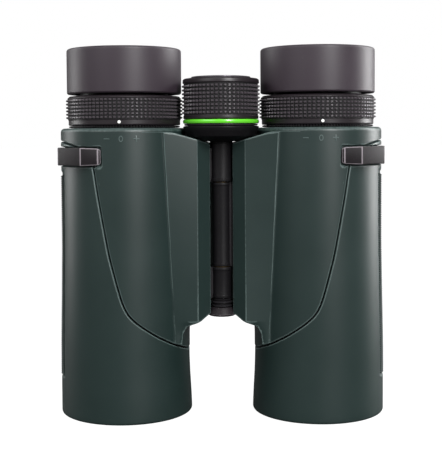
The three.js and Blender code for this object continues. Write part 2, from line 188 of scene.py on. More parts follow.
def finish_mesh(mesh: Mesh, sharp: float = 32.0, full_bend: float = 50.0) -> None:
    """Shades a mesh smooth between its sharp edges and writes how convex each point is.

    Args:
        mesh: the mesh to finish.
        sharp: the angle in degrees past which an edge is shaded sharp.
        full_bend: the angle in degrees between faces that counts as a full edge.
    """
    bm = bmesh.new()
    bm.from_mesh(mesh)
    convex = [0.0] * len(bm.verts)
    for edge in bm.edges:
        if len(edge.link_faces) == 2:
            angle = edge.calc_face_angle_signed(0.0)
            for vert in edge.verts:
                convex[vert.index] = max(convex[vert.index], angle)
    bm.free()
    layer = mesh.attributes.new("edge", "FLOAT", "POINT")
    layer.data.foreach_set("value", [min(1.0, c / math.radians(full_bend)) for c in convex])
    mesh.shade_smooth()
    mesh.set_sharp_from_angle(angle=math.radians(sharp))
    mesh.update()


def clear_edge_mask_below(mesh: Mesh, height: float) -> None:
    """Clears the edge attribute below a height in millimetres."""
    layer = mesh.attributes["edge"]
    for vert in mesh.vertices:
        if vert.co.z < height * MM:
            layer.data[vert.index].value = 0.0


def rounded(corners: list[Corner], steps: int = 5, closed: bool = True) -> list[Pair]:
    """Rounds the corners of a plane line.

    Args:
        corners: x, y and fillet radius of each corner.
        steps: pieces in each fillet.
        closed: whether the line closes on itself.
    Returns:
        The points of the rounded line.
    """
    line: list[Pair] = []
    count = len(corners)
    for i, (x, y, radius) in enumerate(corners):
        here = Vector((x, y))
        if radius <= 0 or (not closed and i in (0, count - 1)):
            line.append((x, y))
            continue
        before = Vector(corners[i - 1][:2]) - here
        after = Vector(corners[(i + 1) % count][:2]) - here
        angle = before.angle(after)
        reach = min(radius / math.tan(angle / 2), before.length * 0.48, after.length * 0.48)
        start = here + before.normalized() * reach
        end = here + after.normalized() * reach
        for k in range(steps + 1):
            t = k / steps
            point = start * (1 - t) ** 2 + here * (2 * t * (1 - t)) + end * t**2
            line.append((point.x, point.y))
    return line


def make_piece(
    name: str,
    mesh: Mesh,
    material: Material,
    body: str,
    stands_for: tuple[str, ...] = (),
) -> bpy.types.Object:
    """Links a mesh as a piece of the binoculars.

    Args:
        name: the piece's name.
        mesh: its mesh, already in place.
        material: its finish.
        body: the body it moves with.
        stands_for: the plain nodes it is shown in place of.
    Returns:
        The new object.
    """
    obj = bpy.data.objects.new(name, mesh)
    bpy.context.scene.collection.objects.link(obj)
    mesh.materials.clear()
    mesh.materials.append(material)
    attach(obj, body)
    if stands_for:
        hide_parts(*stands_for)
    log.info("%s: %d faces on %s", name, len(mesh.polygons), body)
    return obj


def turned_piece(
    name: str,
    profile: list[Pair],
    axis: Pair,
    steps: int,
    material: Material,
    body: str,
    stands_for: tuple[str, ...] = (),
) -> None:
    """Makes a turned piece about an upright axis.

    Args:
        name: the piece's name.
        profile: radius and height pairs.
        axis: x and y of the axis.
        steps: facets of a full turn.
        material: its finish.
        body: the body it moves with.
        stands_for: the plain nodes it is shown in place of.
    """
    mesh = Patch().lathe(profile, axis, steps).mesh(name)
    make_piece(name, mesh, material, body, stands_for)


def smooth_table(
    xs: list[float], ys: list[float], width: float, step: float = 0.1
) -> tuple[np.ndarray, np.ndarray]:
    """Softens a broken line into a smooth one.

    Args:
        xs: rising positions of the line's corners.
        ys: its values there.
        width: how far the softening reaches.
        step: the spacing of the result.
    Returns:
        Positions and values of the smooth line.
    """
    reach = 3 * width
    x = np.arange(xs[0] - reach, xs[-1] + reach + step, step)
    y = np.interp(x, xs, ys)
    k = np.exp(-0.5 * (np.arange(-reach, reach + step, step) / width) ** 2)
    half = len(k) // 2
    padded = np.pad(y, half, mode="edge")
    return x, np.convolve(padded, k / k.sum(), mode="same")[half : half + len(x)]


# ------------------------------------------------------------------ shader groups
def feed(tree: NodeTree, socket: NodeSocket, value: object) -> None:
    """Links another node's output to an input, or sets the input to a plain value.

    Args:
        tree: the tree both nodes are in.
        socket: the input.
        value: an output socket or a plain value.
    """
    if isinstance(value, NodeSocket):
        tree.links.new(value, socket)
    else:
        socket.default_value = value


class Effects:
    """Shader node groups that several finishes share."""

    @staticmethod
    def _start(name: str, inputs: list[tuple[str, float]], outputs: list[str]) -> NodeTree:
        """Makes an empty group with float sockets.

        Args:
            name: the group's name.
            inputs: name and default of each input.
            outputs: name of each output.
        Returns:
            The node tree.
        """
        tree = bpy.data.node_groups.new(name, "ShaderNodeTree")
        for label, default in inputs:
            socket = tree.interface.new_socket(name=label, in_out="INPUT", socket_type="NodeSocketFloat")
            socket.default_value = default
        for label in outputs:
            tree.interface.new_socket(name=label, in_out="OUTPUT", socket_type="NodeSocketFloat")
        return tree

    @staticmethod
    def _math(tree: NodeTree, operation: str, a: object, b: object = 0.0, clamp: bool = False) -> NodeSocket:
        """Adds a math node and returns its output.

        Args:
            tree: the tree to add it to.
            operation: the node's operation.
            a: a socket or a number.
            b: a socket or a number.
            clamp: keeps the result between 0 and 1.
        Returns:
            The output socket.
        """
        node = tree.nodes.new("ShaderNodeMath")
        node.operation = operation
        node.use_clamp = clamp
        for socket, value in zip(node.inputs, (a, b)):
            feed(tree, socket, value)
        return node.outputs[0]

    @staticmethod
    def _noise(tree: NodeTree, scale: object, detail: float, rough: float = 0.5) -> NodeSocket:
        """Adds a noise texture on object coordinates and returns its factor.

        Args:
            tree: the tree to add it to.
            scale: a socket or a number.
            detail: octaves of the noise.
            rough: weight of the finer octaves.
        Returns:
            The output socket.
        """
        coords = tree.nodes.new("ShaderNodeTexCoord")
        node = tree.nodes.new("ShaderNodeTexNoise")
        node.inputs["Detail"].default_value = detail
        node.inputs["Roughness"].default_value = rough
        tree.links.new(coords.outputs["Object"], node.inputs["Vector"])
        feed(tree, node.inputs["Scale"], scale)
        return node.outputs["Fac"]

    @classmethod
    def grain(cls) -> NodeTree:
        """Moulded grain: a height of fine pebbles over a soft swell, and a slow change of tone."""
        tree = cls._start("moulded_grain", [("Scale", 3000.0), ("Tone Scale", 60.0)], ["Height", "Tone"])
        nodes, links = tree.nodes, tree.links
        entry, leave = nodes.new("NodeGroupInput"), nodes.new("NodeGroupOutput")
        coords = nodes.new("ShaderNodeTexCoord")
        cells = nodes.new("ShaderNodeTexVoronoi")
        cells.feature = "SMOOTH_F1"
        links.new(coords.outputs["Object"], cells.inputs["Vector"])
        links.new(entry.outputs["Scale"], cells.inputs["Scale"])
        fine = cls._noise(tree, cls._math(tree, "MULTIPLY", entry.outputs["Scale"], 0.6), 3.0, 0.6)
        pebble = cls._math(tree, "SUBTRACT", 1.0, cells.outputs["Distance"])
        coarse_part = cls._math(tree, "MULTIPLY", pebble, 0.6)
        fine_part = cls._math(tree, "MULTIPLY", fine, 0.8)
        links.new(cls._math(tree, "ADD", coarse_part, fine_part), leave.inputs["Height"])
        links.new(cls._noise(tree, entry.outputs["Tone Scale"], 4.0, 0.55), leave.inputs["Tone"])
        return tree

    @classmethod
    def wear_and_edge_highlight(cls) -> NodeTree:
        """Edge wear and painted edge highlight: a mask on convex edges, broken up by noise. On the green
        armour it paints the highlight of the rounded lips and ridges.
        """
        tree = cls._start("edge_wear_and_highlight", [("Amount", 0.5), ("Breakup", 900.0)], ["Mask"])
        nodes, links = tree.nodes, tree.links
        entry, leave = nodes.new("NodeGroupInput"), nodes.new("NodeGroupOutput")
        edge = nodes.new("ShaderNodeAttribute")
        edge.attribute_name = "edge"
        noise = cls._noise(tree, entry.outputs["Breakup"], 4.0, 0.65)
        lifted = cls._math(tree, "ADD", edge.outputs["Fac"], cls._math(tree, "MULTIPLY", noise, 0.7))
        cutoff = cls._math(tree, "SUBTRACT", lifted, 0.75)
        steep = cls._math(tree, "MULTIPLY", cutoff, 3.0, clamp=True)
        mask = cls._math(tree, "MULTIPLY", steep, entry.outputs["Amount"], clamp=True)
        links.new(mask, leave.inputs["Mask"])
        return tree

    @classmethod
    def dust(cls) -> NodeTree:
        """Dust: a thin scatter of small pale specks."""
        tree = cls._start("fine_dust", [("Amount", 0.3), ("Scale", 1500.0)], ["Mask"])
        nodes, links = tree.nodes, tree.links
        entry, leave = nodes.new("NodeGroupInput"), nodes.new("NodeGroupOutput")
        specks = cls._noise(tree, entry.outputs["Scale"], 2.0, 0.8)
        patches = cls._noise(tree, 70.0, 3.0)
        few = cls._math(tree, "MULTIPLY", cls._math(tree, "SUBTRACT", specks, 0.62), 9.0, clamp=True)
        where = cls._math(tree, "MULTIPLY", few, patches)
        mask = cls._math(tree, "MULTIPLY", where, entry.outputs["Amount"], clamp=True)
        links.new(mask, leave.inputs["Mask"])
        return tree


def linear(shade: Shade) -> Box:
    """The linear colour of an 8-bit display colour, with full alpha."""
    shares = [value / 255 for value in shade]
    steps = [s / 12.92 if s <= 0.04045 else ((s + 0.055) / 1.055) ** 2.4 for s in shares]
    return (*steps, 1.0)


# ------------------------------------------------------------------ finishes
class Recipe:
    """A material being made, and the steps that the finishes share."""

    def __init__(self, name: str, groups: dict[str, NodeTree]) -> None:
        """Starts a plain material.

        Args:
            name: the material's name.
            groups: the shared shader groups by name.
        """
        self.material = bpy.data.materials.new(name)
        self.material.use_nodes = True
        self.tree = self.material.node_tree
        self.shader = self.tree.nodes["Principled BSDF"]
        self.groups = groups

    def group(self, name: str, **inputs: float) -> Node:
        """Places a shared group with the given input values and returns its node."""
        node = self.tree.nodes.new("ShaderNodeGroup")
        node.node_tree = self.groups[name]
        for label, value in inputs.items():
            node.inputs[label].default_value = value
        return node

    def mix(self, mask: NodeSocket, first: object, second: object) -> NodeSocket:
        """Mixes two colours by a mask.

        Args:
            mask: the socket that chooses.
            first: a colour or a socket, where the mask is 0.
            second: a colour or a socket, where the mask is 1.
        Returns:
            The mixed colour's socket.
        """
        node = self.tree.nodes.new("ShaderNodeMix")
        node.data_type = "RGBA"
        for index, value in ((0, mask), (6, first), (7, second)):
            feed(self.tree, node.inputs[index], value)
        return node.outputs[2]

    def spread(self, share: NodeSocket, span: Pair) -> NodeSocket:
        """Maps a share from 0 to 1 onto a span and returns the socket."""
        node = self.tree.nodes.new("ShaderNodeMapRange")
        node.inputs["To Min"].default_value, node.inputs["To Max"].default_value = span
        self.tree.links.new(share, node.inputs["Value"])
        return node.outputs["Result"]

    def bump(self, height: NodeSocket, strength: float, depth: float) -> NodeSocket:
        """Makes a bumpy normal.

        Args:
            height: the socket of the relief's height.
            strength: how strongly it shows.
            depth: the relief's depth in metres.
        Returns:
            The normal's socket.
        """
        node = self.tree.nodes.new("ShaderNodeBump")
        node.inputs["Strength"].default_value = strength
        node.inputs["Distance"].default_value = depth
        self.tree.links.new(height, node.inputs["Height"])
        return node.outputs["Normal"]

    def finish(self, values: dict[str, object]) -> Material:
        """Feeds the main shader's inputs by label and returns the material."""
        for label, value in values.items():
            feed(self.tree, self.shader.inputs[label], value)
        return self.material


@dataclass(frozen=True)
class Moulded:
    """A moulded rubber or plastic, or a painted metal, with grain, edges lightened by wear and by painted
    highlight, and a little dust.
    """

    name: str
    dark: Shade
    light: Shade
    worn_and_lit_edge: Shade
    rough: Pair = (0.45, 0.6)
    grain_scale: float = 3000.0
    bump: float = 0.15
    depth: float = 0.0001
    wear_and_edge_highlight: float = 0.3
    dust: float = 0.2
    specular: float = 0.5
    coat: float = 0.0
    dust_shade: Shade = (170, 168, 165)

    def build(self, groups: dict[str, NodeTree]) -> Material:
        """Makes the material from the shared shader groups."""
        recipe = Recipe(self.name, groups)
        grain = recipe.group("grain", Scale=self.grain_scale)
        wear_and_edge_highlight = recipe.group("wear_and_edge_highlight", Amount=self.wear_and_edge_highlight)
        dust = recipe.group("dust", Amount=self.dust)
        tone = recipe.mix(grain.outputs["Tone"], linear(self.dark), linear(self.light))
        worn_and_lit_edge = recipe.mix(wear_and_edge_highlight.outputs["Mask"], tone, linear(self.worn_and_lit_edge))
        return recipe.finish({
            "Base Color": recipe.mix(dust.outputs["Mask"], worn_and_lit_edge, linear(self.dust_shade)),
            "Roughness": recipe.spread(grain.outputs["Tone"], self.rough),
            "Normal": recipe.bump(grain.outputs["Height"], self.bump, self.depth),
            "Metallic": 0.0,
            "Specular IOR Level": self.specular,
            "Coat Weight": self.coat,
            "Coat Roughness": 0.25,
        })


@dataclass(frozen=True)
class Machined:
    """Turned bare or anodised metal, with rings of tool marks about the hinge's axis."""

    name: str
    dark: Shade
    light: Shade
    rough: Pair = (0.25, 0.4)
    ring_scale: float = 520.0
    metallic: float = 0.9
    dust_shade: Shade = (190, 190, 188)

    def build(self, groups: dict[str, NodeTree]) -> Material:
        """Makes the material from the shared shader groups."""
        recipe = Recipe(self.name, groups)
        tree = recipe.tree
        coords = tree.nodes.new("ShaderNodeTexCoord")
        centred = tree.nodes.new("ShaderNodeMapping")
        centred.inputs["Location"].default_value = (0, -HINGE_Y * MM, 0)
        tree.links.new(coords.outputs["Object"], centred.inputs["Vector"])
        marks = tree.nodes.new("ShaderNodeTexWave")
        marks.wave_type = "RINGS"
        marks.rings_direction = "Z"
        marks.inputs["Scale"].default_value = self.ring_scale
        marks.inputs["Distortion"].default_value = 0.6
        marks.inputs["Detail Scale"].default_value = 40.0
        tree.links.new(centred.outputs["Vector"], marks.inputs["Vector"])
        grain = recipe.group("grain")
        dust = recipe.group("dust", Amount=0.2)
        tone = recipe.mix(grain.outputs["Tone"], linear(self.dark), linear(self.light))
        return recipe.finish({
            "Base Color": recipe.mix(dust.outputs["Mask"], tone, linear(self.dust_shade)),
            "Roughness": recipe.spread(grain.outputs["Tone"], self.rough),
            "Normal": recipe.bump(marks.outputs["Fac"], 0.12, 0.00005),
            "Metallic": self.metallic,
        })


@dataclass(frozen=True)
class CoatedGlass:
    """Optical glass with a coloured coating and a few specks of dust on it."""

    name: str
    tint: Shade
    coating: Shade
    rough: Pair = (0.01, 0.3)
    dust_shade: Shade = (220, 220, 220)

    def build(self, groups: dict[str, NodeTree]) -> Material:
        """Makes the material from the shared shader groups."""
        recipe = Recipe(self.name, groups)
        dust = recipe.group("dust", Amount=0.12).outputs["Mask"]
        coating = linear(self.coating)
        return recipe.finish({
            "Base Color": recipe.mix(dust, linear(self.tint), linear(self.dust_shade)),
            "Roughness": recipe.spread(dust, self.rough),
            "Transmission Weight": 0.85,
            "IOR": 1.5,
            "Specular Tint": coating,
            "Coat Weight": 0.6,
            "Coat Roughness": 0.02,
            "Coat Tint": coating,
        })


FINISHES = (
    # Green armour: the pale edge colour and the strong edge amount paint highlight on the rounded lips of the
    # seam, ridges and collar, besides wear.
    Moulded("green_rubber", (27, 42, 40), (34, 50, 48), (96, 112, 110), rough=(0.38, 0.45),
            grain_scale=3600.0, bump=0.08, depth=0.00005, wear_and_edge_highlight=0.6, dust=0.04),
    Moulded("black_rubber", (46, 37, 45), (54, 45, 53), (96, 88, 96), rough=(0.44, 0.52),
            grain_scale=3600.0, bump=0.12, depth=0.00006, wear_and_edge_highlight=0.3, dust=0.06),
    # The knurled rings and their studs are one rubber: the ring body is a darker copy that paints shade in
    # the grooves, the studs a lighter, glossier copy that paints their lit tips.
    Moulded("knurled_rubber_painted_shade", (30, 25, 29), (38, 32, 36), (60, 54, 60), rough=(0.34, 0.42),
            grain_scale=3600.0, bump=0.06, depth=0.00004, wear_and_edge_highlight=0.15, dust=0.04),
    Moulded("stud_rubber_painted_lit", (54, 48, 53), (66, 59, 64), (100, 94, 100), rough=(0.3, 0.38),
            grain_scale=3600.0, bump=0.05, depth=0.00004, wear_and_edge_highlight=0.2, dust=0.04, specular=0.8),
    Moulded("black_metal", (12, 11, 13), (18, 16, 19), (60, 58, 62), rough=(0.4, 0.52),
            grain_scale=5200.0, bump=0.08, depth=0.00005, wear_and_edge_highlight=0.2, dust=0.06, specular=0.22),
    Moulded("black_plastic", (22, 18, 21), (32, 27, 31), (150, 142, 148), rough=(0.42, 0.58),
            grain_scale=2600.0, bump=0.4, depth=0.0001, wear_and_edge_highlight=0.8, dust=0.15, specular=0.25),
    Moulded("bright_green", (92, 205, 40), (112, 226, 56), (170, 245, 120), rough=(0.2, 0.3),
            grain_scale=4000.0, bump=0.03, depth=0.00003, wear_and_edge_highlight=0.2, dust=0.05, coat=0.5),
    Moulded("white_paint", (238, 238, 234), (250, 250, 248), (225, 225, 222), rough=(0.35, 0.5),
            grain_scale=4000.0, bump=0.05, depth=0.00003, wear_and_edge_highlight=0.2, dust=0.02),
    Moulded("dark_bore", (9, 9, 10), (14, 13, 15), (30, 30, 32), rough=(0.7, 0.85),
            grain_scale=4000.0, bump=0.1, depth=0.00005, wear_and_edge_highlight=0.1, dust=0.05),
    Machined("cap_grey", (92, 88, 94), (118, 114, 120), rough=(0.3, 0.42), metallic=0.6),
    Machined("steel", (150, 150, 152), (176, 176, 178)),
    Machined("brass", (70, 58, 36), (92, 76, 48)),
    CoatedGlass("glass", (206, 222, 226), (120, 190, 150)),
    CoatedGlass("eye_glass", (214, 216, 230), (150, 110, 200)),
)


def build_finishes() -> dict[str, Material]:
    """Builds the shared shader groups and then every finish, by name."""
    groups = {"grain": Effects.grain(), "wear_and_edge_highlight": Effects.wear_and_edge_highlight(), "dust": Effects.dust()}
    return {finish.name: finish.build(groups) for finish in FINISHES}


# ------------------------------------------------------------------ repeated shapes by geometry nodes
class NodeShape:
    """A geometry node tree with named inputs, and the plain mesh that comes out of it."""

    def __init__(self, name: str, inputs: list[tuple[str, str, object]]) -> None:
        """Makes the empty tree.

        Args:
            name: the tree's name.
            inputs: label, socket type and default of each input.
        """
        self.tree = bpy.data.node_groups.new(name, "GeometryNodeTree")
        self.tree.interface.new_socket(name="Geometry", in_out="INPUT", socket_type="NodeSocketGeometry")
        self.tree.interface.new_socket(name="Geometry", in_out="OUTPUT", socket_type="NodeSocketGeometry")
        for label, kind, default in inputs:
            socket = self.tree.interface.new_socket(name=label, in_out="INPUT", socket_type=kind)
            if default is not None:
                socket.default_value = default
        self.entry = self.tree.nodes.new("NodeGroupInput")
        self.leave = self.tree.nodes.new("NodeGroupOutput")

    def node(self, kind: str, inputs: dict[object, object] | None = None, **settings: object) -> Node:
        """Adds a node.

        Args:
            kind: the node's type.
            inputs: socket name or index to a value or another node's output.
            settings: the node's own properties.
        Returns:
            The node.
        """
        node = self.tree.nodes.new(kind)
        for key, value in settings.items():
            setattr(node, key, value)
        for key, value in (inputs or {}).items():
            feed(self.tree, node.inputs[key], value)
        return node

    def math(self, operation: str, a: object, b: object = 0.0) -> NodeSocket:
        """Adds a math node and returns its output."""
        return self.node("ShaderNodeMath", {0: a, 1: b}, operation=operation).outputs[0]

    def close(self, geometry: NodeSocket, material: NodeSocket) -> None:
        """Realizes the instances, sets their material and joins them to the output."""
        real = self.node("GeometryNodeRealizeInstances", {"Geometry": geometry})
        painted = self.node("GeometryNodeSetMaterial", {"Geometry": real.outputs[0], "Material": material})
        self.tree.links.new(painted.outputs[0], self.leave.inputs[0])

    def bake(self, name: str, values: dict[str, object], sharp: float = 30.0) -> Mesh:
        """Runs the tree once.

        Args:
            name: the name of the mesh that comes out.
            values: the value of each named input.
            sharp: the angle in degrees past which an edge is shaded sharp.
        Returns:
            A plain mesh.
        """
        host = bpy.data.objects.new(name + "_host", bpy.data.meshes.new(name + "_host"))
        bpy.context.scene.collection.objects.link(host)
        modifier = host.modifiers.new("shape", "NODES")
        modifier.node_group = self.tree
        for item in self.tree.interface.items_tree:
            if item.in_out == "INPUT" and item.name in values:
                modifier[item.identifier] = values[item.name]
        graph = bpy.context.evaluated_depsgraph_get()
        mesh = bpy.data.meshes.new_from_object(host.evaluated_get(graph), depsgraph=graph)
        mesh.name = name
        bpy.data.objects.remove(host)
        finish_mesh(mesh, sharp)
        return mesh


class StudRing(NodeShape):
    """Rows of small square studs round an upright cylinder: knurling, or the teeth of a click ring."""

    def __init__(self) -> None:
        """Builds the tree: points by index on a cylinder, a four-sided stud on each."""
        number, whole = "NodeSocketFloat", "NodeSocketInt"
        super().__init__(
            "stud_ring",
            [
                ("Radius", number, 0.02), ("Base Height", number, 0.0), ("Rows", whole, 6),
                ("Columns", whole, 90), ("Row Pitch", number, 0.0014), ("Stud Width", number, 0.001),
                ("Stud Tip", number, 0.0005), ("Stud Depth", number, 0.0006), ("Stud Height", number, 0.001),
                ("Centre X", number, 0.0), ("Centre Y", number, 0.0),
                ("Material", "NodeSocketMaterial", None),
            ],
        )
        at = self.entry.outputs
        count = self.math("MULTIPLY", at["Rows"], at["Columns"])
        index = self.node("GeometryNodeInputIndex").outputs[0]
        column = self.math("MODULO", index, at["Columns"])
        row = self.math("FLOOR", self.math("DIVIDE", self.math("ADD", index, 0.5), at["Columns"]))
        angle = self.math("MULTIPLY", self.math("DIVIDE", column, at["Columns"]), FULL_TURN)
        x = self.math("ADD", self.math("MULTIPLY", self.math("COSINE", angle), at["Radius"]), at["Centre X"])
        y = self.math("ADD", self.math("MULTIPLY", self.math("SINE", angle), at["Radius"]), at["Centre Y"])
        z = self.math("ADD", self.math("MULTIPLY", row, at["Row Pitch"]), at["Base Height"])
        spot = self.node("ShaderNodeCombineXYZ", {0: x, 1: y, 2: z}).outputs[0]
        points = self.node("GeometryNodePoints", {"Count": count, "Position": spot}).outputs[0]
        corner = math.sqrt(0.5)
        stud = self.node("GeometryNodeMeshCone", {
            "Vertices": 4, "Side Segments": 1, "Radius Top": self.math("MULTIPLY", at["Stud Tip"], corner),
            "Radius Bottom": self.math("MULTIPLY", at["Stud Width"], corner), "Depth": at["Stud Depth"],
        }).outputs[0]
        taller = self.math("DIVIDE", at["Stud Height"], at["Stud Width"])
        stretch = self.node("ShaderNodeCombineXYZ", {0: taller, 1: 1.0, 2: 1.0})
        move = "GeometryNodeTransform"
        square = self.node(move, {"Geometry": stud, "Rotation": (0, 0, math.pi / 4)}).outputs[0]
        tall = self.node(move, {"Geometry": square, "Scale": stretch.outputs[0]}).outputs[0]
        out = self.node(move, {"Geometry": tall, "Rotation": (0, QUARTER_TURN, 0)}).outputs[0]
        turn = self.node("ShaderNodeCombineXYZ", {2: angle}).outputs[0]
        rotation = self.node("FunctionNodeEulerToRotation", {0: turn}).outputs[0]
        spots = {"Points": points, "Instance": out, "Rotation": rotation}
        placed = self.node("GeometryNodeInstanceOnPoints", spots)
        self.close(placed.outputs[0], at["Material"])


class RibStack(NodeShape):
    """A stack of thin curved ribs on one side of an upright cylinder."""

    def __init__(self) -> None:
        """Builds the tree: an arc swept with a diamond section, repeated up a line."""
        number, whole = "NodeSocketFloat", "NodeSocketInt"
        super().__init__(
            "rib_stack",
            [
                ("Radius", number, 0.025), ("Base Height", number, 0.012), ("Count", whole, 90),
                ("Pitch", number, 0.00085), ("Start Angle", number, 0.0), ("Sweep", number, 1.0),
                ("Rib Radius", number, 0.00035), ("Material", "NodeSocketMaterial", None),
            ],
        )
        at = self.entry.outputs
        arc = self.node("GeometryNodeCurveArc", {
            "Resolution": 26, "Radius": at["Radius"], "Start Angle": at["Start Angle"],
            "Sweep Angle": at["Sweep"],
        }).outputs[0]
        diamond = {"Resolution": 4, "Radius": at["Rib Radius"]}
        section = self.node("GeometryNodeCurvePrimitiveCircle", diamond).outputs[0]
        sweep = {"Curve": arc, "Profile Curve": section, "Fill Caps": True}
        rib = self.node("GeometryNodeCurveToMesh", sweep).outputs[0]
        index = self.node("GeometryNodeInputIndex").outputs[0]
        z = self.math("ADD", self.math("MULTIPLY", index, at["Pitch"]), at["Base Height"])
        spot = self.node("ShaderNodeCombineXYZ", {2: z}).outputs[0]
        points = self.node("GeometryNodePoints", {"Count": at["Count"], "Position": spot}).outputs[0]
        placed = self.node("GeometryNodeInstanceOnPoints", {"Points": points, "Instance": rib})
        self.close(placed.outputs[0], at["Material"])


# ------------------------------------------------------------------ the armoured barrel
@dataclass
class BarrelShape:
    """The outline of one armoured barrel, as a radius at every angle and height.

    Angles are in degrees from the front towards the hinge.
    """

    top: float = 110.2
    fillet: float = 1.5
    shelf: float = 108.6
    inner: float = 22.8
    mouth: float = 20.6
    outer_heights: tuple[float, ...] = (0, 10, 28, 37, 46, 56, 66, 90, 112)
    outer_radii: tuple[float, ...] = (25.5, 25.5, 25.42, 25.28, 25.1, 24.95, 24.75, 24.65, 24.65)
    inner_heights: tuple[float, ...] = (0, 3, 9, 15, 22, 30, 40, 112)
    inner_radii: tuple[float, ...] = (25.5, 25.45, 25.15, 24.8, 24.58, 24.62, 24.65, 24.65)
    ridge_low: Pair = (19.6, -15.8)
    ridge_high: Pair = (16.2, -19.4)
    wing_low: float = 33.4
    foot_heights: tuple[float, ...] = (30.0, 33.4, 34.9, 36.3, 38.7, 40.5)
    foot_reach: tuple[float, ...] = (24.4, 24.7, 25.3, 28.5, 31.8, 34.7)
    fade_heights: tuple[float, ...] = (27.0, 32.0, 37.0)
    fade_shares: tuple[float, ...] = (0.1, 0.3, 1.0)
    ridge_mark: float = 45.0
    lean_from: float = 12.0
    lean_to: float = 58.0
    seam_angles: tuple[float, ...] = (
        -90, -70, -52, -37, -28, -23.4, -19.4, -14.6, -9.5, -3.3, 1.9, 7.1, 17.4, 32.9, 51.7, 76.4, 90,
    )
    seam_heights: tuple[float, ...] = (
        105.5, 105.1, 104.2, 102.9, 100.2, 96.6, 85.6, 74.6, 63.0, 52.8, 44.8, 40.4, 36.6, 32.1, 28.1, 24.9,
        24.4,
    )
    seam_level: float = 30.0
    gap: float = 0.62
    lip: float = 0.42
    lug: Box = (-46.5, -6.35, 95.75, 103.45)
    pocket: float = 1.5
    panel: Box = (-116.0, -64.0, 12.0, 95.0)
    panel_slope: float = 2.6
    panel_depth: float = 0.42

    def __post_init__(self) -> None:
        """Works out the smooth tables that the outline is read from."""
        self._outer = smooth_table(list(self.outer_heights), list(self.outer_radii), 2.5)
        self._inner = smooth_table(list(self.inner_heights), list(self.inner_radii), 1.8)
        falls = [104.5, 104.5, 106.0, self.shelf, self.shelf]
        self._dish = smooth_table([0, 6, 12.3, 20.6, 40], falls, 0.8)
        self._seam = self._soft_seam()
        self._wing = self._wing_table()

    def _soft_seam(self) -> tuple[np.ndarray, np.ndarray]:
        """The seam over the front half as smooth rows of angle and height."""
        a = np.array(self.seam_angles, dtype=float)
        z = np.array(self.seam_heights, dtype=float)
        a = np.concatenate(([-180 - a[1]], a, [180 - a[-2]]))
        z = np.concatenate(([z[1]], z, [z[-2]]))
        length = np.concatenate(([0], np.cumsum(np.hypot(np.diff(a) * DEGREE_ARC, np.diff(z)))))
        s, soft_a = smooth_table(list(length), list(a), 2.2)
        _, soft_z = smooth_table(list(length), list(z), 2.2)
        keep = (s > length[1] - 3) & (s < length[-2] + 3)
        order = np.argsort(soft_a[keep])
        return soft_a[keep][order], soft_z[keep][order]

    def seam(self, angle: np.ndarray) -> np.ndarray:
        """The seam's height at angles from -90 to 270; the back half mirrors the front half."""
        folded = np.where(angle > 90, 180 - angle, angle)
        return np.interp(folded, *self._seam)

    def ridge_angle(self, z: np.ndarray) -> np.ndarray:
        """The angle of the wing's front ridge at a height."""
        share = np.clip((z - self.wing_low) / (self.shelf - self.wing_low), 0, 1)
        x = self.ridge_low[0] + (self.ridge_high[0] - self.ridge_low[0]) * share
        y = self.ridge_low[1] + (self.ridge_high[1] - self.ridge_low[1]) * share
        return np.degrees(np.arctan2(x, -y))

    def _lean(self, value: np.ndarray, ridge_in: np.ndarray, ridge_out: np.ndarray) -> np.ndarray:
        """Stretches angles or marks so that the ridge moves from one place to another.

        Args:
            value: the angles or marks.
            ridge_in: where the ridge is among them.
            ridge_out: where it is to be.
        Returns:
            The moved angles or marks; those far from the ridge stay.
        """
        low, high = self.lean_from, self.lean_to
        left = low + (value - low) * (ridge_out - low) / (ridge_in - low)
        right = ridge_out + (value - ridge_in) * (high - ridge_out) / (high - ridge_in)
        leaning = np.where(value < ridge_in, left, right)
        return np.where((value < low) | (value >= high), value, leaning)

    def angle(self, mark: np.ndarray, z: np.ndarray) -> np.ndarray:
        """The angle of a column mark at a height; the columns lean with the ridge."""
        return self._lean(mark, self.ridge_mark, self.ridge_angle(z))

    def mark(self, angle: np.ndarray, z: np.ndarray) -> np.ndarray:
        """The column mark at an angle and height, the reverse of angle()."""
        return self._lean(angle, self.ridge_angle(z), self.ridge_mark)

    def _wing_table(self) -> tuple[np.ndarray, np.ndarray, np.ndarray]:
        """The wing's radius over heights and column marks."""
        heights = np.concatenate((np.arange(23.5, 41.2, 0.15), np.arange(41.5, 110.6, 1.0)))
        marks = np.arange(20, 125, 0.05)
        table = np.zeros((len(heights), len(marks)))
        round_part = self.inner_radii[-1]
        for i, z in enumerate(heights):
            share = np.clip((z - self.wing_low) / (self.shelf - self.wing_low), 0, 1)
            ridge = np.array(self.ridge_low) * (1 - share) + np.array(self.ridge_high) * share
            corners = [
                (8, -16, 0), (ridge[0] - 1.1, ridge[1] + 0.55, 0.3), (ridge[0], ridge[1], 0.45),
                (28.6, -16.9, 0.7), (33.3, -12.4, 0.9), (32.4, -9, 0.8), (34.6, -4.6, 0.5),
                (26.5, -1.5, 3.0), (22.5, 6, 0), (10, 6, 0),
            ]
            line = np.array(rounded(corners, 6, closed=False))
            runs = [np.linspace(p, q, 12, endpoint=False) for p, q in zip(line[:-1], line[1:])]
            dense = np.concatenate(runs)
            dense[:, 0] = np.minimum(dense[:, 0], np.interp(z, self.foot_heights, self.foot_reach))
            theta = np.degrees(np.arctan2(dense[:, 0], -dense[:, 1]))
            order = np.argsort(theta)
            spots = self.angle(marks, np.full_like(marks, z))
            reach = np.interp(spots, theta[order], np.hypot(*dense[order].T), left=0, right=0)
            past = np.clip((spots - self.ridge_angle(z)) / 7.0, 0, 1)
            fade = 1 - past * (1 - np.interp(z, self.fade_heights, self.fade_shares))
            table[i] = np.where(reach > round_part, round_part + (reach - round_part) * fade, reach)
        return heights, marks, table

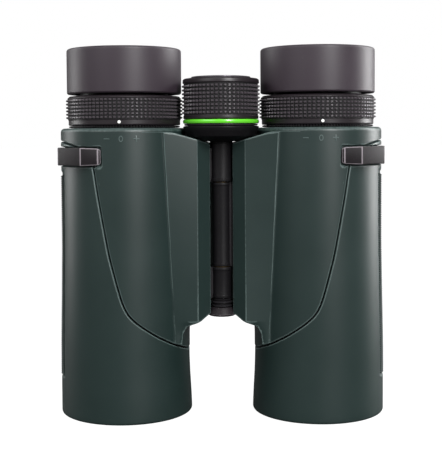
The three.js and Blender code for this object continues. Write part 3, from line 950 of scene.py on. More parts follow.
    def wing(self, mark: np.ndarray, z: np.ndarray) -> np.ndarray:
        """The wing's radius at column marks and heights, 0 where there is none."""
        heights, marks, table = self._wing
        i = np.clip(np.searchsorted(heights, z) - 1, 0, len(heights) - 2)
        j = np.clip(np.searchsorted(marks, mark) - 1, 0, len(marks) - 2)
        u = np.clip((z - heights[i]) / (heights[i + 1] - heights[i]), 0, 1)
        v = np.clip((mark - marks[j]) / (marks[j + 1] - marks[j]), 0, 1)
        low = table[i, j] * (1 - v) + table[i, j + 1] * v
        high = table[i + 1, j] * (1 - v) + table[i + 1, j + 1] * v
        inside = (z >= heights[0]) & (mark >= marks[0]) & (mark <= marks[-1])
        return np.where(inside, low * (1 - u) + high * u, 0.0)

    def barrel(self, angle: np.ndarray, z: np.ndarray) -> np.ndarray:
        """The round barrel's radius, fuller on the outer side than towards the hinge."""
        share = 0.5 * (1 + np.sin(np.radians(angle)))
        return np.interp(z, *self._outer) * (1 - share) + np.interp(z, *self._inner) * share

    def sunk(self, angle: np.ndarray, z: np.ndarray) -> np.ndarray:
        """How far the surface is let in: the lug's pocket and the bed of the ribbed panel."""
        folded = np.where(angle > 180, angle - 360, angle)
        along = np.radians(folded) * WAIST_RADIUS
        pocket = rounded_box(along, z, self.lug, 1.0)
        start, end, bottom, top = self.panel
        edges = (math.radians(start) * WAIST_RADIUS, math.radians(end) * WAIST_RADIUS)
        bed = rounded_box(along, z - self.panel_rise(folded), (*edges, bottom, top - self.panel_slope), 1.2)
        return self.pocket * soft_step(-pocket / 0.4) + self.panel_depth * soft_step(-bed / 0.9)

    def panel_rise(self, angle: np.ndarray) -> np.ndarray:
        """How far the ribbed panel has risen at an angle; it slopes up towards the front."""
        start, end = self.panel[:2]
        return self.panel_slope * np.clip((angle - start) / (end - start), 0, 1)

    def radius(self, mark: np.ndarray, z: np.ndarray) -> np.ndarray:
        """The armour's outer radius at column marks and heights."""
        angle = self.angle(mark, z)
        base, wing = self.barrel(angle, z), self.wing(mark, z)
        return 0.5 * (base + wing + np.sqrt((base - wing) ** 2 + 0.16)) - self.sunk(angle, z)

    def dish(self, radius: np.ndarray, angle: np.ndarray) -> np.ndarray:
        """The height of the wing's top at a place, falling towards the hinge in a scoop."""
        x = radius * np.sin(np.radians(angle)) - EYE_WIDTH / 2
        y = -radius * np.cos(np.radians(angle)) - HINGE_Y
        return np.interp(np.hypot(x, y), *self._dish)

    def columns(self) -> np.ndarray:
        """The column marks all round, closer at the seam's steep run, the lug and the wing's corners."""
        spans = ((-90, 270, 1.0), (-32, 6, 0.4), (174, 212, 0.5), (36, 108, 0.6))
        parts = [np.arange(*span) for span in spans]
        for corner in (43.0, 45.0, 59.4, 69.6, 74.5, 82.4):
            parts.append(corner + np.array((-1.1, -0.8, -0.5, -0.25, 0, 0.25, 0.5, 0.8, 1.1)))
        marks = np.unique(np.round(np.concatenate(parts), 3))
        least_gap = 0.12
        keep = [marks[0]]
        for mark in marks[1:]:
            if mark - keep[-1] > least_gap:
                keep.append(mark)
        return np.array(keep)

    def edge_rows(
        self, marks: np.ndarray, way: float
    ) -> tuple[list[np.ndarray], list[np.ndarray], list[float]]:
        """Rows that follow the seam and round its lip.

        Args:
            marks: the column marks.
            way: 1 for the piece above the seam, -1 for the one below.
        Returns:
            Column marks, heights and inward drops of each row, from inside to outside.
        """
        low = np.full_like(marks, self.seam_level)
        angle = self.angle(marks, low)
        z = self.seam(angle)
        slope = (self.seam(angle + 0.1) - self.seam(angle - 0.1)) / (0.2 * DEGREE_ARC)
        slope[0] = 0.0
        norm = np.hypot(1, slope)
        across = (-slope / norm, 1 / norm)
        rows_mark, rows_z, drops = [], [], []
        lip = self.lip
        bends = [(0.0, 2.4), (0.0, lip)]
        for turn in np.linspace(0.3, QUARTER_TURN, 5):
            bends.append((lip * (1 - math.cos(turn)), lip * (1 - math.sin(turn))))
        bends += [(lip + 0.35, 0.0), (lip + 0.8, 0.0)]
        for reach, drop in bends:
            d = way * (self.gap / 2 + reach)
            turned = angle + across[0] * d / DEGREE_ARC
            rows_mark.append(self.mark(turned, low))
            rows_z.append(z + across[1] * d)
            drops.append(drop)
        return rows_mark, rows_z, drops


def rounded_box(x: np.ndarray, y: np.ndarray, box: Box, corner: float) -> np.ndarray:
    """The distance to a rectangle with round corners, negative inside it.

    Args:
        x: positions along the first axis.
        y: positions along the second axis.
        box: lowest and highest x, then lowest and highest y.
        corner: the corners' radius.
    Returns:
        The distances.
    """
    dx = np.abs(x - (box[0] + box[1]) / 2) - ((box[1] - box[0]) / 2 - corner)
    dy = np.abs(y - (box[2] + box[3]) / 2) - ((box[3] - box[2]) / 2 - corner)
    return np.hypot(np.maximum(dx, 0), np.maximum(dy, 0)) + np.minimum(np.maximum(dx, dy), 0) - corner


def soft_step(t: np.ndarray) -> np.ndarray:
    """Rises smoothly from 0 to 1 as t goes from 0 to 1."""
    t = np.clip(t, 0, 1)
    return t * t * (3 - 2 * t)


def polar(radius: np.ndarray, angle: np.ndarray, z: np.ndarray) -> np.ndarray:
    """Points of a barrel's own frame from radius, angle in degrees and height."""
    radius, angle, z = np.broadcast_arrays(radius, angle, z)
    turn = np.radians(angle)
    return np.stack((radius * np.sin(turn), -radius * np.cos(turn), z), axis=-1)


@dataclass
class Armour:
    """The two rubber mouldings of a barrel, the ribs of its grip and the marks on its collar."""

    side: Side
    shape: BarrelShape
    finishes: dict[str, Material]
    ribs: RibStack
    rib_pitch: float = 0.85
    mark_angles: Corner = (-10.4, 2.0, 15.2)
    mark_height: float = 106.2
    hood_clear_edge_height: float = 1.2
    hood_height: float = 0.9
    hood_round: float = 0.8
    rim_level: float = 107.0
    rim_round: float = 0.7
    wall_low: float = 32.6
    wall_high: float = 107.4
    neck_low: float = 107.3

    def build(self) -> None:
        """Makes every piece of the armour."""
        name = self.side.value
        # A small full bend brings the edge mask to full strength on the rounded lips, where it paints their
        # highlight.
        upper = self._upper().mesh(f"{name}_bridge_armour_skin", sharp=40, full_bend=20)
        lower = self._lower().mesh(f"{name}_grip_armour_skin", sharp=40, full_bend=20)
        clear_edge_mask_below(lower, self.hood_clear_edge_height)
        marks = self._marks().mesh(f"{name}_collar_marks")
        for mesh, stands_for in (
            (upper, (f"{name}_bridge_armour",)),
            (lower, (f"{name}_grip_armour",)),
            (self._ribs(), ()),
            (marks, ()),
        ):
            green = self.finishes["green_rubber"]
            make_piece(mesh.name, mesh, green, f"{name}_barrel", stands_for)

    def _upper(self) -> Patch:
        """The moulding above the seam, with the collar and the bridge wing."""
        shape = self.shape
        marks = shape.columns()
        row_marks, row_z, drops = shape.edge_rows(marks, 1)
        rings = []
        for k, (mark, z, drop) in enumerate(zip(row_marks, row_z, drops)):
            r = np.maximum(shape.radius(mark, z) - drop, shape.inner) if k else np.full_like(z, shape.inner)
            rings.append(polar(r, shape.angle(mark, z), z))
        start_mark, start_z = row_marks[-1], row_z[-1]
        level = np.full_like(marks, self.rim_level)
        rim = shape.radius(marks, level)
        rim_angle = shape.angle(marks, level)
        base = shape.barrel(rim_angle, level)
        width = np.maximum(rim - base - 0.15, 0)
        bend = np.minimum(self.rim_round, 0.45 * width)
        crest = shape.dish(rim - bend, rim_angle)
        split = np.maximum(self.wall_low, start_z + 0.15 * (crest - start_z))
        low_turn = 0.3
        for t in np.linspace(0, 1, 26)[1:]:
            z = start_z + (split - start_z) * t
            mark = start_mark + (marks - start_mark) * t * low_turn
            rings.append(polar(shape.radius(mark, z), shape.angle(mark, z), z))
        spans = ((33.0, 41.0, 0.4), (41.6, 94, 1.3), (94.4, 108.2, 0.45))
        for height in np.concatenate([np.arange(*span) for span in spans]):
            t = min(1.0, (height - self.wall_low) / (self.wall_high - self.wall_low))
            z = split + (crest - bend - split) * t
            mark = start_mark + (marks - start_mark) * (low_turn + (1 - low_turn) * t)
            rings.append(polar(shape.radius(mark, z), shape.angle(mark, z), z))
            if t == 1.0:
                break
        for turn in np.linspace(0, QUARTER_TURN, 6)[1:]:
            r, z = rim - bend + bend * math.cos(turn), crest - bend + bend * math.sin(turn)
            rings.append(polar(r, rim_angle, z))
        foot = np.minimum(base + 0.12, rim - bend)
        for t in np.linspace(0, 1, 18)[1:]:
            r = rim - bend + (foot - rim + bend) * t
            rings.append(polar(r, rim_angle, shape.dish(r, rim_angle)))
        low = shape.dish(foot, rim_angle)
        collar = shape.top - shape.fillet
        for t in np.linspace(0, 1, 9)[1:]:
            r, z = foot + (base - foot) * min(1.0, 4 * t), low + (collar - low) * t
            rings.append(polar(r, rim_angle, z))
        for turn in np.linspace(0, QUARTER_TURN, 9)[1:]:
            r = base - shape.fillet + shape.fillet * math.cos(turn)
            rings.append(polar(r, rim_angle, np.full_like(marks, collar + shape.fillet * math.sin(turn))))
        mouth = (
            (21.6, shape.top), (20.9, shape.top), (shape.mouth, shape.top - 0.3),
            (shape.mouth, self.neck_low), (shape.inner, self.neck_low),
        )
        for r, z in mouth:
            rings.append(polar(np.full_like(marks, r), rim_angle, np.full_like(marks, z)))
        return Patch().grid(self.side.place(np.array(rings)), close_rows=True)

    def _lower(self) -> Patch:
        """The moulding below the seam, down to the rim of the hood."""
        shape = self.shape
        marks = shape.columns()
        level = np.full_like(marks, shape.seam_level)
        row_marks, row_z, drops = shape.edge_rows(marks, -1)
        rings = []
        for k, (mark, z, drop) in enumerate(zip(row_marks, row_z, drops)):
            angle = shape.angle(mark, level)
            r = shape.barrel(angle, z) - shape.sunk(angle, z) - drop
            rings.append(polar(np.maximum(r, shape.inner) if k else np.full_like(z, shape.inner), angle, z))
        start = shape.angle(row_marks[-1], level)
        start_z = row_z[-1]
        end = shape.angle(marks, level)
        spans = ((0.35, 13, 0.38), (13.4, 84, 0.95), (84, 92, 0.3), (92, 100, 0.95))
        steps = np.concatenate([np.arange(*span) for span in spans])
        for t in np.append(steps[steps < 99.5] / 100, 1.0):
            z = start_z + (self.hood_height - start_z) * t
            angle = start + (end - start) * t
            rings.append(polar(shape.barrel(angle, z) - shape.sunk(angle, z), angle, z))
        for turn in np.linspace(0, QUARTER_TURN, 6)[1:]:
            height = np.full_like(end, self.hood_height)
            r = shape.barrel(end, height) - self.hood_round + self.hood_round * math.cos(turn)
            rings.append(polar(r, end, height * (1 - math.sin(turn))))
        seam_z = row_z[0]
        hood = (
            (23.1, 0.0), (22.8, 0.1), (22.7, 0.4), (22.7, 3.7), (23.7, 3.7), (23.7, 21.0),
            (shape.inner, 27.0),
        )
        for r, z in hood:
            rings.append(polar(np.full_like(end, r), end, np.minimum(z, seam_z - 0.5 if z > 5 else 4.0)))
        return Patch().grid(self.side.place(np.array(rings)), close_rows=True)

    def _ribs(self) -> Mesh:
        """The ribs of the grip, bedded in their panel and following the barrel's swell."""
        shape = self.shape
        start, end, low, high = shape.panel
        inset, radius, thickness, stand_out = 2.2, 25.0, 0.4, 0.2
        mesh = self.ribs.bake(f"{self.side.value}_grip_ribs", {
            "Radius": radius * MM, "Base Height": (low + 1.4) * MM, "Pitch": self.rib_pitch * MM,
            "Count": int((high - low - 5) / self.rib_pitch), "Start Angle": math.radians(-90 + start + inset),
            "Sweep": math.radians(end - start - 2 * inset), "Rib Radius": thickness * MM,
            "Material": self.finishes["green_rubber"],
        })
        spots = np.empty(len(mesh.vertices) * 3)
        mesh.vertices.foreach_get("co", spots)
        spots = spots.reshape(-1, 3) / MM
        angle = np.degrees(np.arctan2(spots[:, 0], -spots[:, 1]))
        lift = np.hypot(spots[:, 0], spots[:, 1]) - radius
        z = spots[:, 2] + shape.panel_rise(angle)
        moved = polar(shape.barrel(angle, z) - shape.panel_depth + stand_out + lift * 1.1, angle, z)
        mesh.vertices.foreach_set("co", (self.side.place(moved) * MM).ravel())
        clear_edge_mask_below(mesh, shape.top)
        if self.side is Side.RIGHT:
            mesh.flip_normals()
        mesh.update()
        return mesh

    def _marks(self) -> Patch:
        """A minus, a nought and a plus, raised on the collar."""
        patch = Patch()
        minus, nought, plus = self.mark_angles if self.side is Side.LEFT else self.mark_angles[::-1]
        for angle, wide, tall in ((minus, 2.1, 0.36), (plus, 2.3, 0.36), (plus, 0.36, 2.3)):
            patch.join(self._bar(angle, wide, tall))
        turn = np.linspace(0, FULL_TURN, 28, endpoint=False)
        rings = []
        for scale, lift in ((1.0, -0.2), (1.0, 0.22), (0.62, 0.22), (0.62, -0.2)):
            angle = nought + 0.8 * scale * np.cos(turn) / DEGREE_ARC
            z = self.mark_height + 1.15 * (scale + (0.06 if scale < 1 else 0)) * np.sin(turn)
            rings.append(polar(self.shape.barrel(angle, z) + lift, angle, z))
        return patch.grid(self.side.place(np.array(rings)), close_rows=True)

    def _bar(self, angle: float, wide: float, tall: float) -> Patch:
        """One raised bar of a mark.

        Args:
            angle: its middle, in degrees.
            wide: its length round the barrel.
            tall: its height.
        Returns:
            The bar.
        """
        rings = []
        for lift, grow in ((-0.2, 1.0), (0.2, 1.0), (0.26, 0.8)):
            a = angle + np.array((-1, 1, 1, -1)) * wide * grow / 2 / DEGREE_ARC
            h = self.mark_height + np.array((-1, -1, 1, 1)) * tall * grow / 2
            rings.append(polar(self.shape.barrel(a, h) + lift, a, h))
        return Patch().grid(self.side.place(np.array(rings)), caps=True)


@dataclass
class StrapLug:
    """An angular bar over a pocket in the armour, for the strap to pass behind."""

    side: Side
    finishes: dict[str, Material]
    low: float = 96.3
    high: float = 102.9
    line: tuple[Corner, ...] = (
        (-6.75, -23.5, 1.0), (-7.8, -23.9, 0.3), (-14.2, -24.2, 0.0), (-23.8, -15.4, 0.0),
        (-25.2, -7.0, 0.0), (-25.3, 1.5, 0.0), (-23.4, 4.6, 1.2),
    )
    back: tuple[Pair, ...] = (
        (-7.0, -22.4), (-9.0, -22.0), (-13.8, -21.6), (-22.3, -14.6), (-23.5, -6.6), (-23.7, 0.6),
        (-22.3, 3.4),
    )

    def build(self) -> None:
        """Makes the bar with softly bevelled edges."""
        rings = []
        for (x, y, trim), (bx, by) in zip(self.line, self.back):
            low, high = self.low + trim * 0.8, self.high - trim * 0.8
            rings.append([(x, y, low), (x, y, high), (bx, by, high), (bx, by, low)])
        patch = Patch().grid(self.side.place(np.array(rings)), caps=True)
        name = f"{self.side.value}_strap_lug_bar"
        mesh = bevelled(patch.mesh(name), 0.28, 3)
        plastic = self.finishes["black_plastic"]
        node = f"{self.side.value}_strap_lug"
        make_piece(name, mesh, plastic, f"{self.side.value}_barrel", (node,))


def bevelled(
    mesh: Mesh, width: float, segments: int, angle: float = 12.0, bevel_area: float = 1.4
) -> Mesh:
    """Rounds the edges of a mesh and marks the narrow bevel faces in the edge mask, which gives them the
    lighter edge colour.

    Args:
        mesh: the mesh to round.
        width: the bevel's width in millimetres.
        segments: steps across it.
        angle: the least angle in degrees that is bevelled.
        bevel_area: faces under this many square millimetres count as bevels.
    Returns:
        A new mesh.
    """
    host = bpy.data.objects.new(mesh.name + "_host", mesh)
    bpy.context.scene.collection.objects.link(host)
    bevel = host.modifiers.new("bevel", "BEVEL")
    bevel.width = width * MM
    bevel.segments = segments
    bevel.limit_method = "ANGLE"
    bevel.angle_limit = math.radians(angle)
    graph = bpy.context.evaluated_depsgraph_get()
    made = bpy.data.meshes.new_from_object(host.evaluated_get(graph), depsgraph=graph)
    made.name = mesh.name
    bpy.data.objects.remove(host)
    made.attributes.remove(made.attributes["edge"])
    finish_mesh(made, 40)
    made.attributes.remove(made.attributes["edge"])
    layer = made.attributes.new("edge", "FLOAT", "FACE")
    layer.data.foreach_set("value", [float(face.area < bevel_area * MM * MM) for face in made.polygons])
    return made


@dataclass
class Eyepiece:
    """The diopter ring, the twist-up eyecup and the ocular lenses of one barrel."""

    side: Side
    finishes: dict[str, Material]
    studs: StudRing
    knurl_low: float = 113.6
    knurl_rows: int = 6
    knurl_pitch: float = 1.3
    knurl_columns: int = 84
    band: float = 21.6
    dot_height: float = 112.45

    def build(self) -> None:
        """Makes every piece of the eyepiece."""
        self._diopter()
        self._eyecup()
        self._ocular()

    def _turned(
        self, name: str, profile: list[Pair], steps: int, finish: str, body: str, slot: str, *nodes: str
    ) -> None:
        """Makes a turned piece about the optical axis.

        Args:
            name: the piece's name after its side.
            profile: radius and height pairs.
            steps: facets of a full turn.
            finish: the finish's name.
            body: the body's name after its side.
            slot: the record's material slot; not used.
            nodes: names after their side of the plain nodes it is shown in place of.
        """
        side = self.side.value
        stands_for = tuple(f"{side}_{node}" for node in nodes)
        axis, material = (self.side.axis_x, 0.0), self.finishes[finish]
        turned_piece(f"{side}_{name}", profile, axis, steps, material, f"{side}_{body}", stands_for)

    def _diopter(self) -> None:
        """The ring with its studs, its dark ringed dot and the white dot in it."""
        band, side = self.band, self.side
        body = rounded([
            (19.4, 111.3, 0), (band - 0.2, 111.3, 0.25), (band, 111.7, 0.2), (band, 113.2, 0.15),
            (band + 0.15, 113.4, 0.1), (band + 0.15, 121.3, 0.2), (22.1, 121.5, 0.25),
            (21.2, 122.4, 0.25), (19.4, 122.4, 0),
        ])
        # The ring body takes the darker rubber as painted groove shade, the studs below take the lighter
        # rubber as painted highlight.
        finish, slot = "knurled_rubber_painted_shade", "black_rubber"
        self._turned("diopter_ring_body", body, 144, finish, "diopter", slot, "diopter_ring")
        # A near-black sheet just over the ring's knurl band, showing between the studs: painted shade in the
        # grooves.
        bed = rounded([(20.5, 113.5, 0), (band + 0.2, 113.5, 0), (band + 0.2, 121.25, 0), (20.5, 121.25, 0)])
        self._turned("diopter_knurl_shade_sheet", bed, 144, "dark_bore", "diopter", slot)
        name, material = f"{side.value}_diopter_knurl", self.finishes["stud_rubber_painted_lit"]
        mesh = self.studs.bake(name, {
            "Radius": (band + 0.1) * MM, "Base Height": (self.knurl_low + self.knurl_pitch / 2) * MM,
            "Rows": self.knurl_rows, "Columns": self.knurl_columns, "Row Pitch": self.knurl_pitch * MM,
            "Stud Width": 1.16 * MM, "Stud Tip": 0.6 * MM, "Stud Depth": 0.8 * MM, "Stud Height": 0.94 * MM,
            "Centre X": side.axis_x * MM, "Centre Y": 0.0, "Material": material,
        })
        make_piece(name, mesh, material, f"{side.value}_diopter")
        self._dot("dot_well", 0.95, 0.04, "dark_bore", "black_rubber")
        self._dot("index_dot_paint", 0.6, 0.12, "white_paint", "white_paint", f"{side.value}_index_dot")

    def _dot(self, name: str, radius: float, depth: float, finish: str, slot: str, *nodes: str) -> None:
        """Makes one round spot on the front of the diopter ring.

        Args:
            name: the piece's name after its side.
            radius: the spot's radius.
            depth: how far it stands out.
            finish: the finish's name.
            slot: the record's material slot; not used.
            nodes: the plain node it is shown in place of, if any.
        """
        turn = np.linspace(0, FULL_TURN, 32, endpoint=False)
        rings = []
        section = ((1.0, -0.3), (1.0, depth - 0.02), (0.85, depth), (0.3, depth + 0.01))
        for share, out in section:
            x = radius * share * np.cos(turn)
            y = -np.sqrt((self.band + out) ** 2 - x**2)
            rings.append(np.stack((x, y, self.dot_height + radius * share * np.sin(turn)), axis=-1))
        full = f"{self.side.value}_{name}"
        mesh = Patch().grid(self.side.place(np.array(rings)), caps=True).mesh(full)
        make_piece(full, mesh, self.finishes[finish], f"{self.side.value}_diopter", nodes)

    def _eyecup(self) -> None:
        """The rubber cup, its inner sleeve and the carrier that lifts it."""
        cup = rounded([
            (19.0, 123.3, 0), (21.75, 123.3, 0.3), (22.1, 123.8, 0.35), (22.1, 140.55, 1.15),
            (18.9, 140.6, 0.6), (17.9, 140.0, 0.5), (17.6, 138.2, 0.2), (19.0, 138.2, 0),
        ], 8)
        sleeve = [(17.55, 123.5, 0.15), (18.7, 123.5, 0.15), (18.7, 137.9, 0), (17.55, 137.9, 0.1)]
        guide = [(16.3, 122.75, 0.1), (17.0, 122.75, 0.1), (17.0, 134, 0.15), (16.3, 134, 0.15)]
        self._turned("eyecup_cup", cup, 192, "black_rubber", "eyecup", "black_rubber", "eyecup_rubber")
        liner = rounded(sleeve, 3)
        self._turned("eyecup_liner", liner, 128, "dark_bore", "eyecup", "black_plastic", "eyecup_sleeve")
        lift = rounded(guide, 3)
        self._turned("eyecup_lift", lift, 128, "black_metal", "eyecup_carrier", "black_metal", "eyecup_guide")

    def _ocular(self) -> None:
        """The housing, the lens cell and the lenses that can be looked into."""
        housing = rounded([
            (14.95, 107.35, 0), (19.0, 107.35, 0.2), (19.0, 122.3, 0.3), (15.9, 122.3, 0.2),
            (15.9, 132.5, 0.3), (14.95, 132.5, 0.2),
        ], 3)
        cell = rounded([
            (11.9, 106.5, 0), (14.6, 106.5, 0.1), (14.6, 133.0, 0.3), (12.8, 132.9, 0.3),
            (10.9, 132.2, 0.2), (10.9, 131.7, 0.1), (11.9, 131.4, 0),
        ], 3)
        eye_lens = lens_profile(11.6, 128.2, 130.4, 0.6, 1.0)
        doublet = lens_profile(11.6, 116, 121.5, 1.5, 1.5)
        for name, profile, steps, finish, slot, node in (
            ("eyepiece_tube", housing, 128, "black_metal", "black_metal", "eyepiece_housing"),
            ("ocular_barrel", cell, 128, "dark_bore", "black_metal", "ocular_cell"),
            ("eye_lens_glass", eye_lens, 96, "eye_glass", "glass", "eye_lens"),
            ("ocular_doublet_glass", doublet, 96, "eye_glass", "glass", "ocular_doublet"),
        ):
            self._turned(name, profile, steps, finish, "barrel", slot, node)


def lens_profile(radius: float, low: float, high: float, bulge_low: float, bulge_high: float) -> list[Pair]:
    """The section of a lens with curved faces.

    Args:
        radius: the lens's radius.
        low: height of the lower face at its rim.
        high: height of the upper face at its rim.
        bulge_low: how far the lower face bulges down in the middle; negative is hollow.
        bulge_high: how far the upper face bulges up in the middle.
    Returns:
        Radius and height pairs from axis to axis.
    """
    shares = np.linspace(0, 1, 15)
    lower = [(radius * s, low - bulge_low * (1 - s * s)) for s in shares]
    upper = [(radius * s, high + bulge_high * (1 - s * s)) for s in shares]
    return lower + upper[::-1]


@dataclass
class Core:
    """The metal body of a barrel: its tube, its hinge knuckles and the toothed ring on its neck."""

    side: Side
    finishes: dict[str, Material]
    studs: StudRing
    ear_top: float = 102.3

    def build(self) -> None:
        """Makes the body, the click teeth and the objective's cell, ring and lenses."""
        name, body = self.side.value, f"{self.side.value}_barrel"
        metal = self.finishes["black_metal"]
        core = self._body().mesh(f"{name}_barrel_core")
        make_piece(core.name, core, metal, body, (f"{name}_barrel_body",))
        teeth = self.studs.bake(f"{name}_click_teeth", {
            "Radius": 20.75 * MM, "Base Height": 110.75 * MM, "Rows": 1, "Columns": 120,
            "Row Pitch": 0.5 * MM, "Stud Width": 0.7 * MM, "Stud Tip": 0.4 * MM, "Stud Depth": 0.7 * MM,
            "Stud Height": 0.75 * MM, "Centre X": self.side.axis_x * MM, "Centre Y": 0.0, "Material": metal,
        })
        make_piece(teeth.name, teeth, metal, body)
        self._objective()

    def _body(self) -> Patch:
        """The tube with the knuckles and the ears that tie them to it."""
        tube = rounded([
            (22.4, 4.0, 0.1), (23.4, 4.0, 0.2), (23.4, 21.9, 0), (22.5, 26.9, 0), (22.5, 106.9, 0.2),
            (15.4, 106.9, 0.1), (15.4, 104.5, 0), (21.5, 104.5, 0), (21.5, 27.0, 0), (22.4, 22.0, 0),
        ], 3)
        patch = Patch().lathe(tube, (self.side.axis_x, 0.0), 144)
        knuckles = {
            Side.LEFT: ((45.3, 57.1, 4.0), (89.8, 105.4, 4.3)),
            Side.RIGHT: ((57.5, 89.4, 3.7),),
        }
        ear = ((31.9, -10.9), (35.6, -10.7), (35.6, -7.3), (31.9, -7.1))
        for low, high, radius in knuckles[self.side]:
            waist = radius - 0.18
            knuckle = rounded([
                (2.6, low, 0), (radius, low, 0.3), (radius, low + 1.1, 0.1), (waist, low + 1.25, 0.1),
                (waist, high - 1.25, 0.1), (radius, high - 1.1, 0.1), (radius, high, 0.3), (2.6, high, 0),
            ], 3)
            patch.join(Patch().lathe(knuckle, HINGE_AXIS, 64))
            ends = (low, min(high, self.ear_top))
            rings = np.array([[(x, y, z) for x, y in ear] for z in ends])
            patch.join(Patch().grid(self.side.place(rings), caps=True))
        return patch

    def _objective(self) -> None:
        """The cell, the retaining ring and the two front lenses."""
        name = self.side.value
        cell = [(21.5, 8.05), (22.1, 8.05), (22.1, 22.0), (20.0, 22.0), (20.0, 20.4), (21.5, 20.4)]
        ring = rounded([(20.2, 8.3, 0.1), (21.3, 8.3, 0.1), (21.3, 9.6, 0.1), (20.5, 9.6, 0.1)], 3)
        front = lens_profile(21.2, 11.6, 13.4, 1.5, 2.2)
        rear = lens_profile(21.2, 13.8, 18.6, -2.2, -0.8)
        for label, profile, finish, slot, node in (
            ("objective_cell_tube", cell, "dark_bore", "black_metal", "objective_cell"),
            ("objective_ring", ring, "black_metal", "black_metal", "objective_retainer"),
            ("objective_front_glass", front, "glass", "glass", "objective_crown_lens"),
            ("objective_rear_glass", rear, "glass", "glass", "objective_flint_lens"),
        ):
            axis, material = (self.side.axis_x, 0.0), self.finishes[finish]
            stands_for = (f"{name}_{node}",)
            turned_piece(f"{name}_{label}", profile, axis, 128, material, f"{name}_barrel", stands_for)


# ------------------------------------------------------------------ the middle
@dataclass
class FocusWheel:
    """The knurled focus wheel with its grey cap, its green ring and the bowl it turns in."""

    finishes: dict[str, Material]
    studs: StudRing
    rows: int = 8
    columns: int = 56
    pitch: float = 1.42
    low: float = 115.1

    def build(self) -> None:
        """Makes every piece of the wheel."""
        wheel = rounded([
            (4.3, 111.0, 0), (13.9, 111.0, 0.15), (14.0, 111.6, 0.1), (12.9, 111.6, 0), (12.9, 113.4, 0),
            (14.0, 113.4, 0.1), (14.3, 113.7, 0.1), (14.3, 114.6, 0.1), (14.05, 114.9, 0.1),
            (14.05, 126.7, 0.1), (14.55, 127.0, 0.2), (14.45, 128.2, 0.35), (13.9, 128.65, 0.2),
            (1.8, 128.6, 0), (1.8, 120, 0), (4.3, 120, 0),
        ], 4)
        # The wheel body takes the darker rubber as painted groove shade, the studs below take the lighter
        # rubber as painted highlight.
        self._turned("focus_wheel_body", wheel, "knurled_rubber_painted_shade", "focus_knob", "black_rubber", "focus_wheel")
        # A near-black sheet just over the wheel's knurl band, showing between the studs: painted shade in the
        # grooves.
        bed = rounded([(13.2, 115.0, 0), (14.1, 115.0, 0), (14.1, 126.65, 0), (13.2, 126.65, 0)])
        self._turned("focus_wheel_knurl_shade_sheet", bed, "dark_bore", "focus_knob", "black_rubber")
        material = self.finishes["stud_rubber_painted_lit"]
        mesh = self.studs.bake("focus_wheel_knurl", {
            "Radius": 14.0 * MM, "Base Height": (self.low + self.pitch / 2) * MM, "Rows": self.rows,
            "Columns": self.columns, "Row Pitch": self.pitch * MM, "Stud Width": 1.14 * MM,
            "Stud Tip": 0.6 * MM, "Stud Depth": 0.8 * MM, "Stud Height": 0.98 * MM, "Centre X": 0.0,
            "Centre Y": HINGE_Y * MM, "Material": material,
        })
        make_piece("focus_wheel_knurl", mesh, material, "focus_knob")
        band = rounded([
            (13.2, 111.75, 0), (14.3, 111.75, 0.3), (14.5, 112.5, 0.6), (14.3, 113.25, 0.3),
            (13.2, 113.25, 0),
        ], 5)
        cap = rounded([
            (0, 128.9, 0), (11.2, 128.9, 0.1), (11.3, 129.4, 0.25), (10.6, 129.5, 0.2), (9.8, 129.42, 0.2),
            (0, 129.42, 0),
        ], 4, closed=False)
        seat = rounded([
            (1.9, 105.7, 0), (4.6, 105.7, 0), (4.6, 104.95, 0), (6.2, 104.95, 0.2), (9.0, 105.5, 0.6),
            (12.9, 106.9, 0.8), (14.1, 109.2, 0.8), (14.4, 110.2, 0.15), (14.4, 110.6, 0.12),
            (13.6, 110.88, 0.1), (3.9, 110.88, 0), (3.9, 119.6, 0), (1.9, 119.6, 0),
        ], 6)
        for name, profile, finish, body, node in (
            ("focus_wheel_green_band", band, "bright_green", "focus_knob", "focus_wheel_ring"),
            ("focus_wheel_disc", cap, "cap_grey", "focus_knob", "focus_wheel_cap"),
            ("wheel_bowl", seat, "black_metal", "left_barrel", "wheel_seat"),
        ):
            self._turned(name, profile, finish, body, finish, node)

    def _turned(self, name: str, profile: list[Pair], finish: str, body: str, slot: str, *nodes: str) -> None:
        """Makes a turned piece about the hinge axis.

        Args:
            name: the piece's name.
            profile: radius and height pairs.
            finish: the finish's name.
            body: the body it moves with.
            slot: the record's material slot; not used.
            nodes: the plain node it is shown in place of, if any.
        """
        turned_piece(name, profile, HINGE_AXIS, 128, self.finishes[finish], body, nodes)


@dataclass
class Hinge:
    """The small turned pieces of the centre hinge below and between the knuckles."""

    finishes: dict[str, Material]

    def build(self) -> None:
        """Makes the grooved spacer, the conical end cap and the washers."""
        spacer = [
            (2.5, 42.2), (4.2, 42.2), (4.2, 42.7), (3.6, 42.9), (3.6, 43.4), (4.2, 43.6), (4.2, 44.1),
            (3.6, 44.3), (3.8, 45.0), (2.5, 45.0),
        ]
        cone = [(0, 38.4, 0), (4.8, 38.4, 0.6), (5.95, 39.2, 0.3), (4.3, 41.8, 0.2), (0, 41.8, 0)]
        cap = rounded(cone, 4, closed=False)
        low_washer = [(2.5, 57.18), (3.4, 57.18), (3.4, 57.42), (2.5, 57.42)]
        high_washer = [(2.5, 89.48), (3.4, 89.48), (3.4, 89.72), (2.5, 89.72)]
        for name, profile, finish, node in (
            ("hinge_grooved_spacer", spacer, "black_metal", "hinge_spacer"),
            ("hinge_cone_cap", cap, "black_plastic", "hinge_end_cap"),
            ("hinge_low_washer", low_washer, "brass", "hinge_washer_lower"),
            ("hinge_high_washer", high_washer, "brass", "hinge_washer_upper"),
        ):
            material = self.finishes[finish]
            turned_piece(name, profile, HINGE_AXIS, 64, material, "left_barrel", (node,))


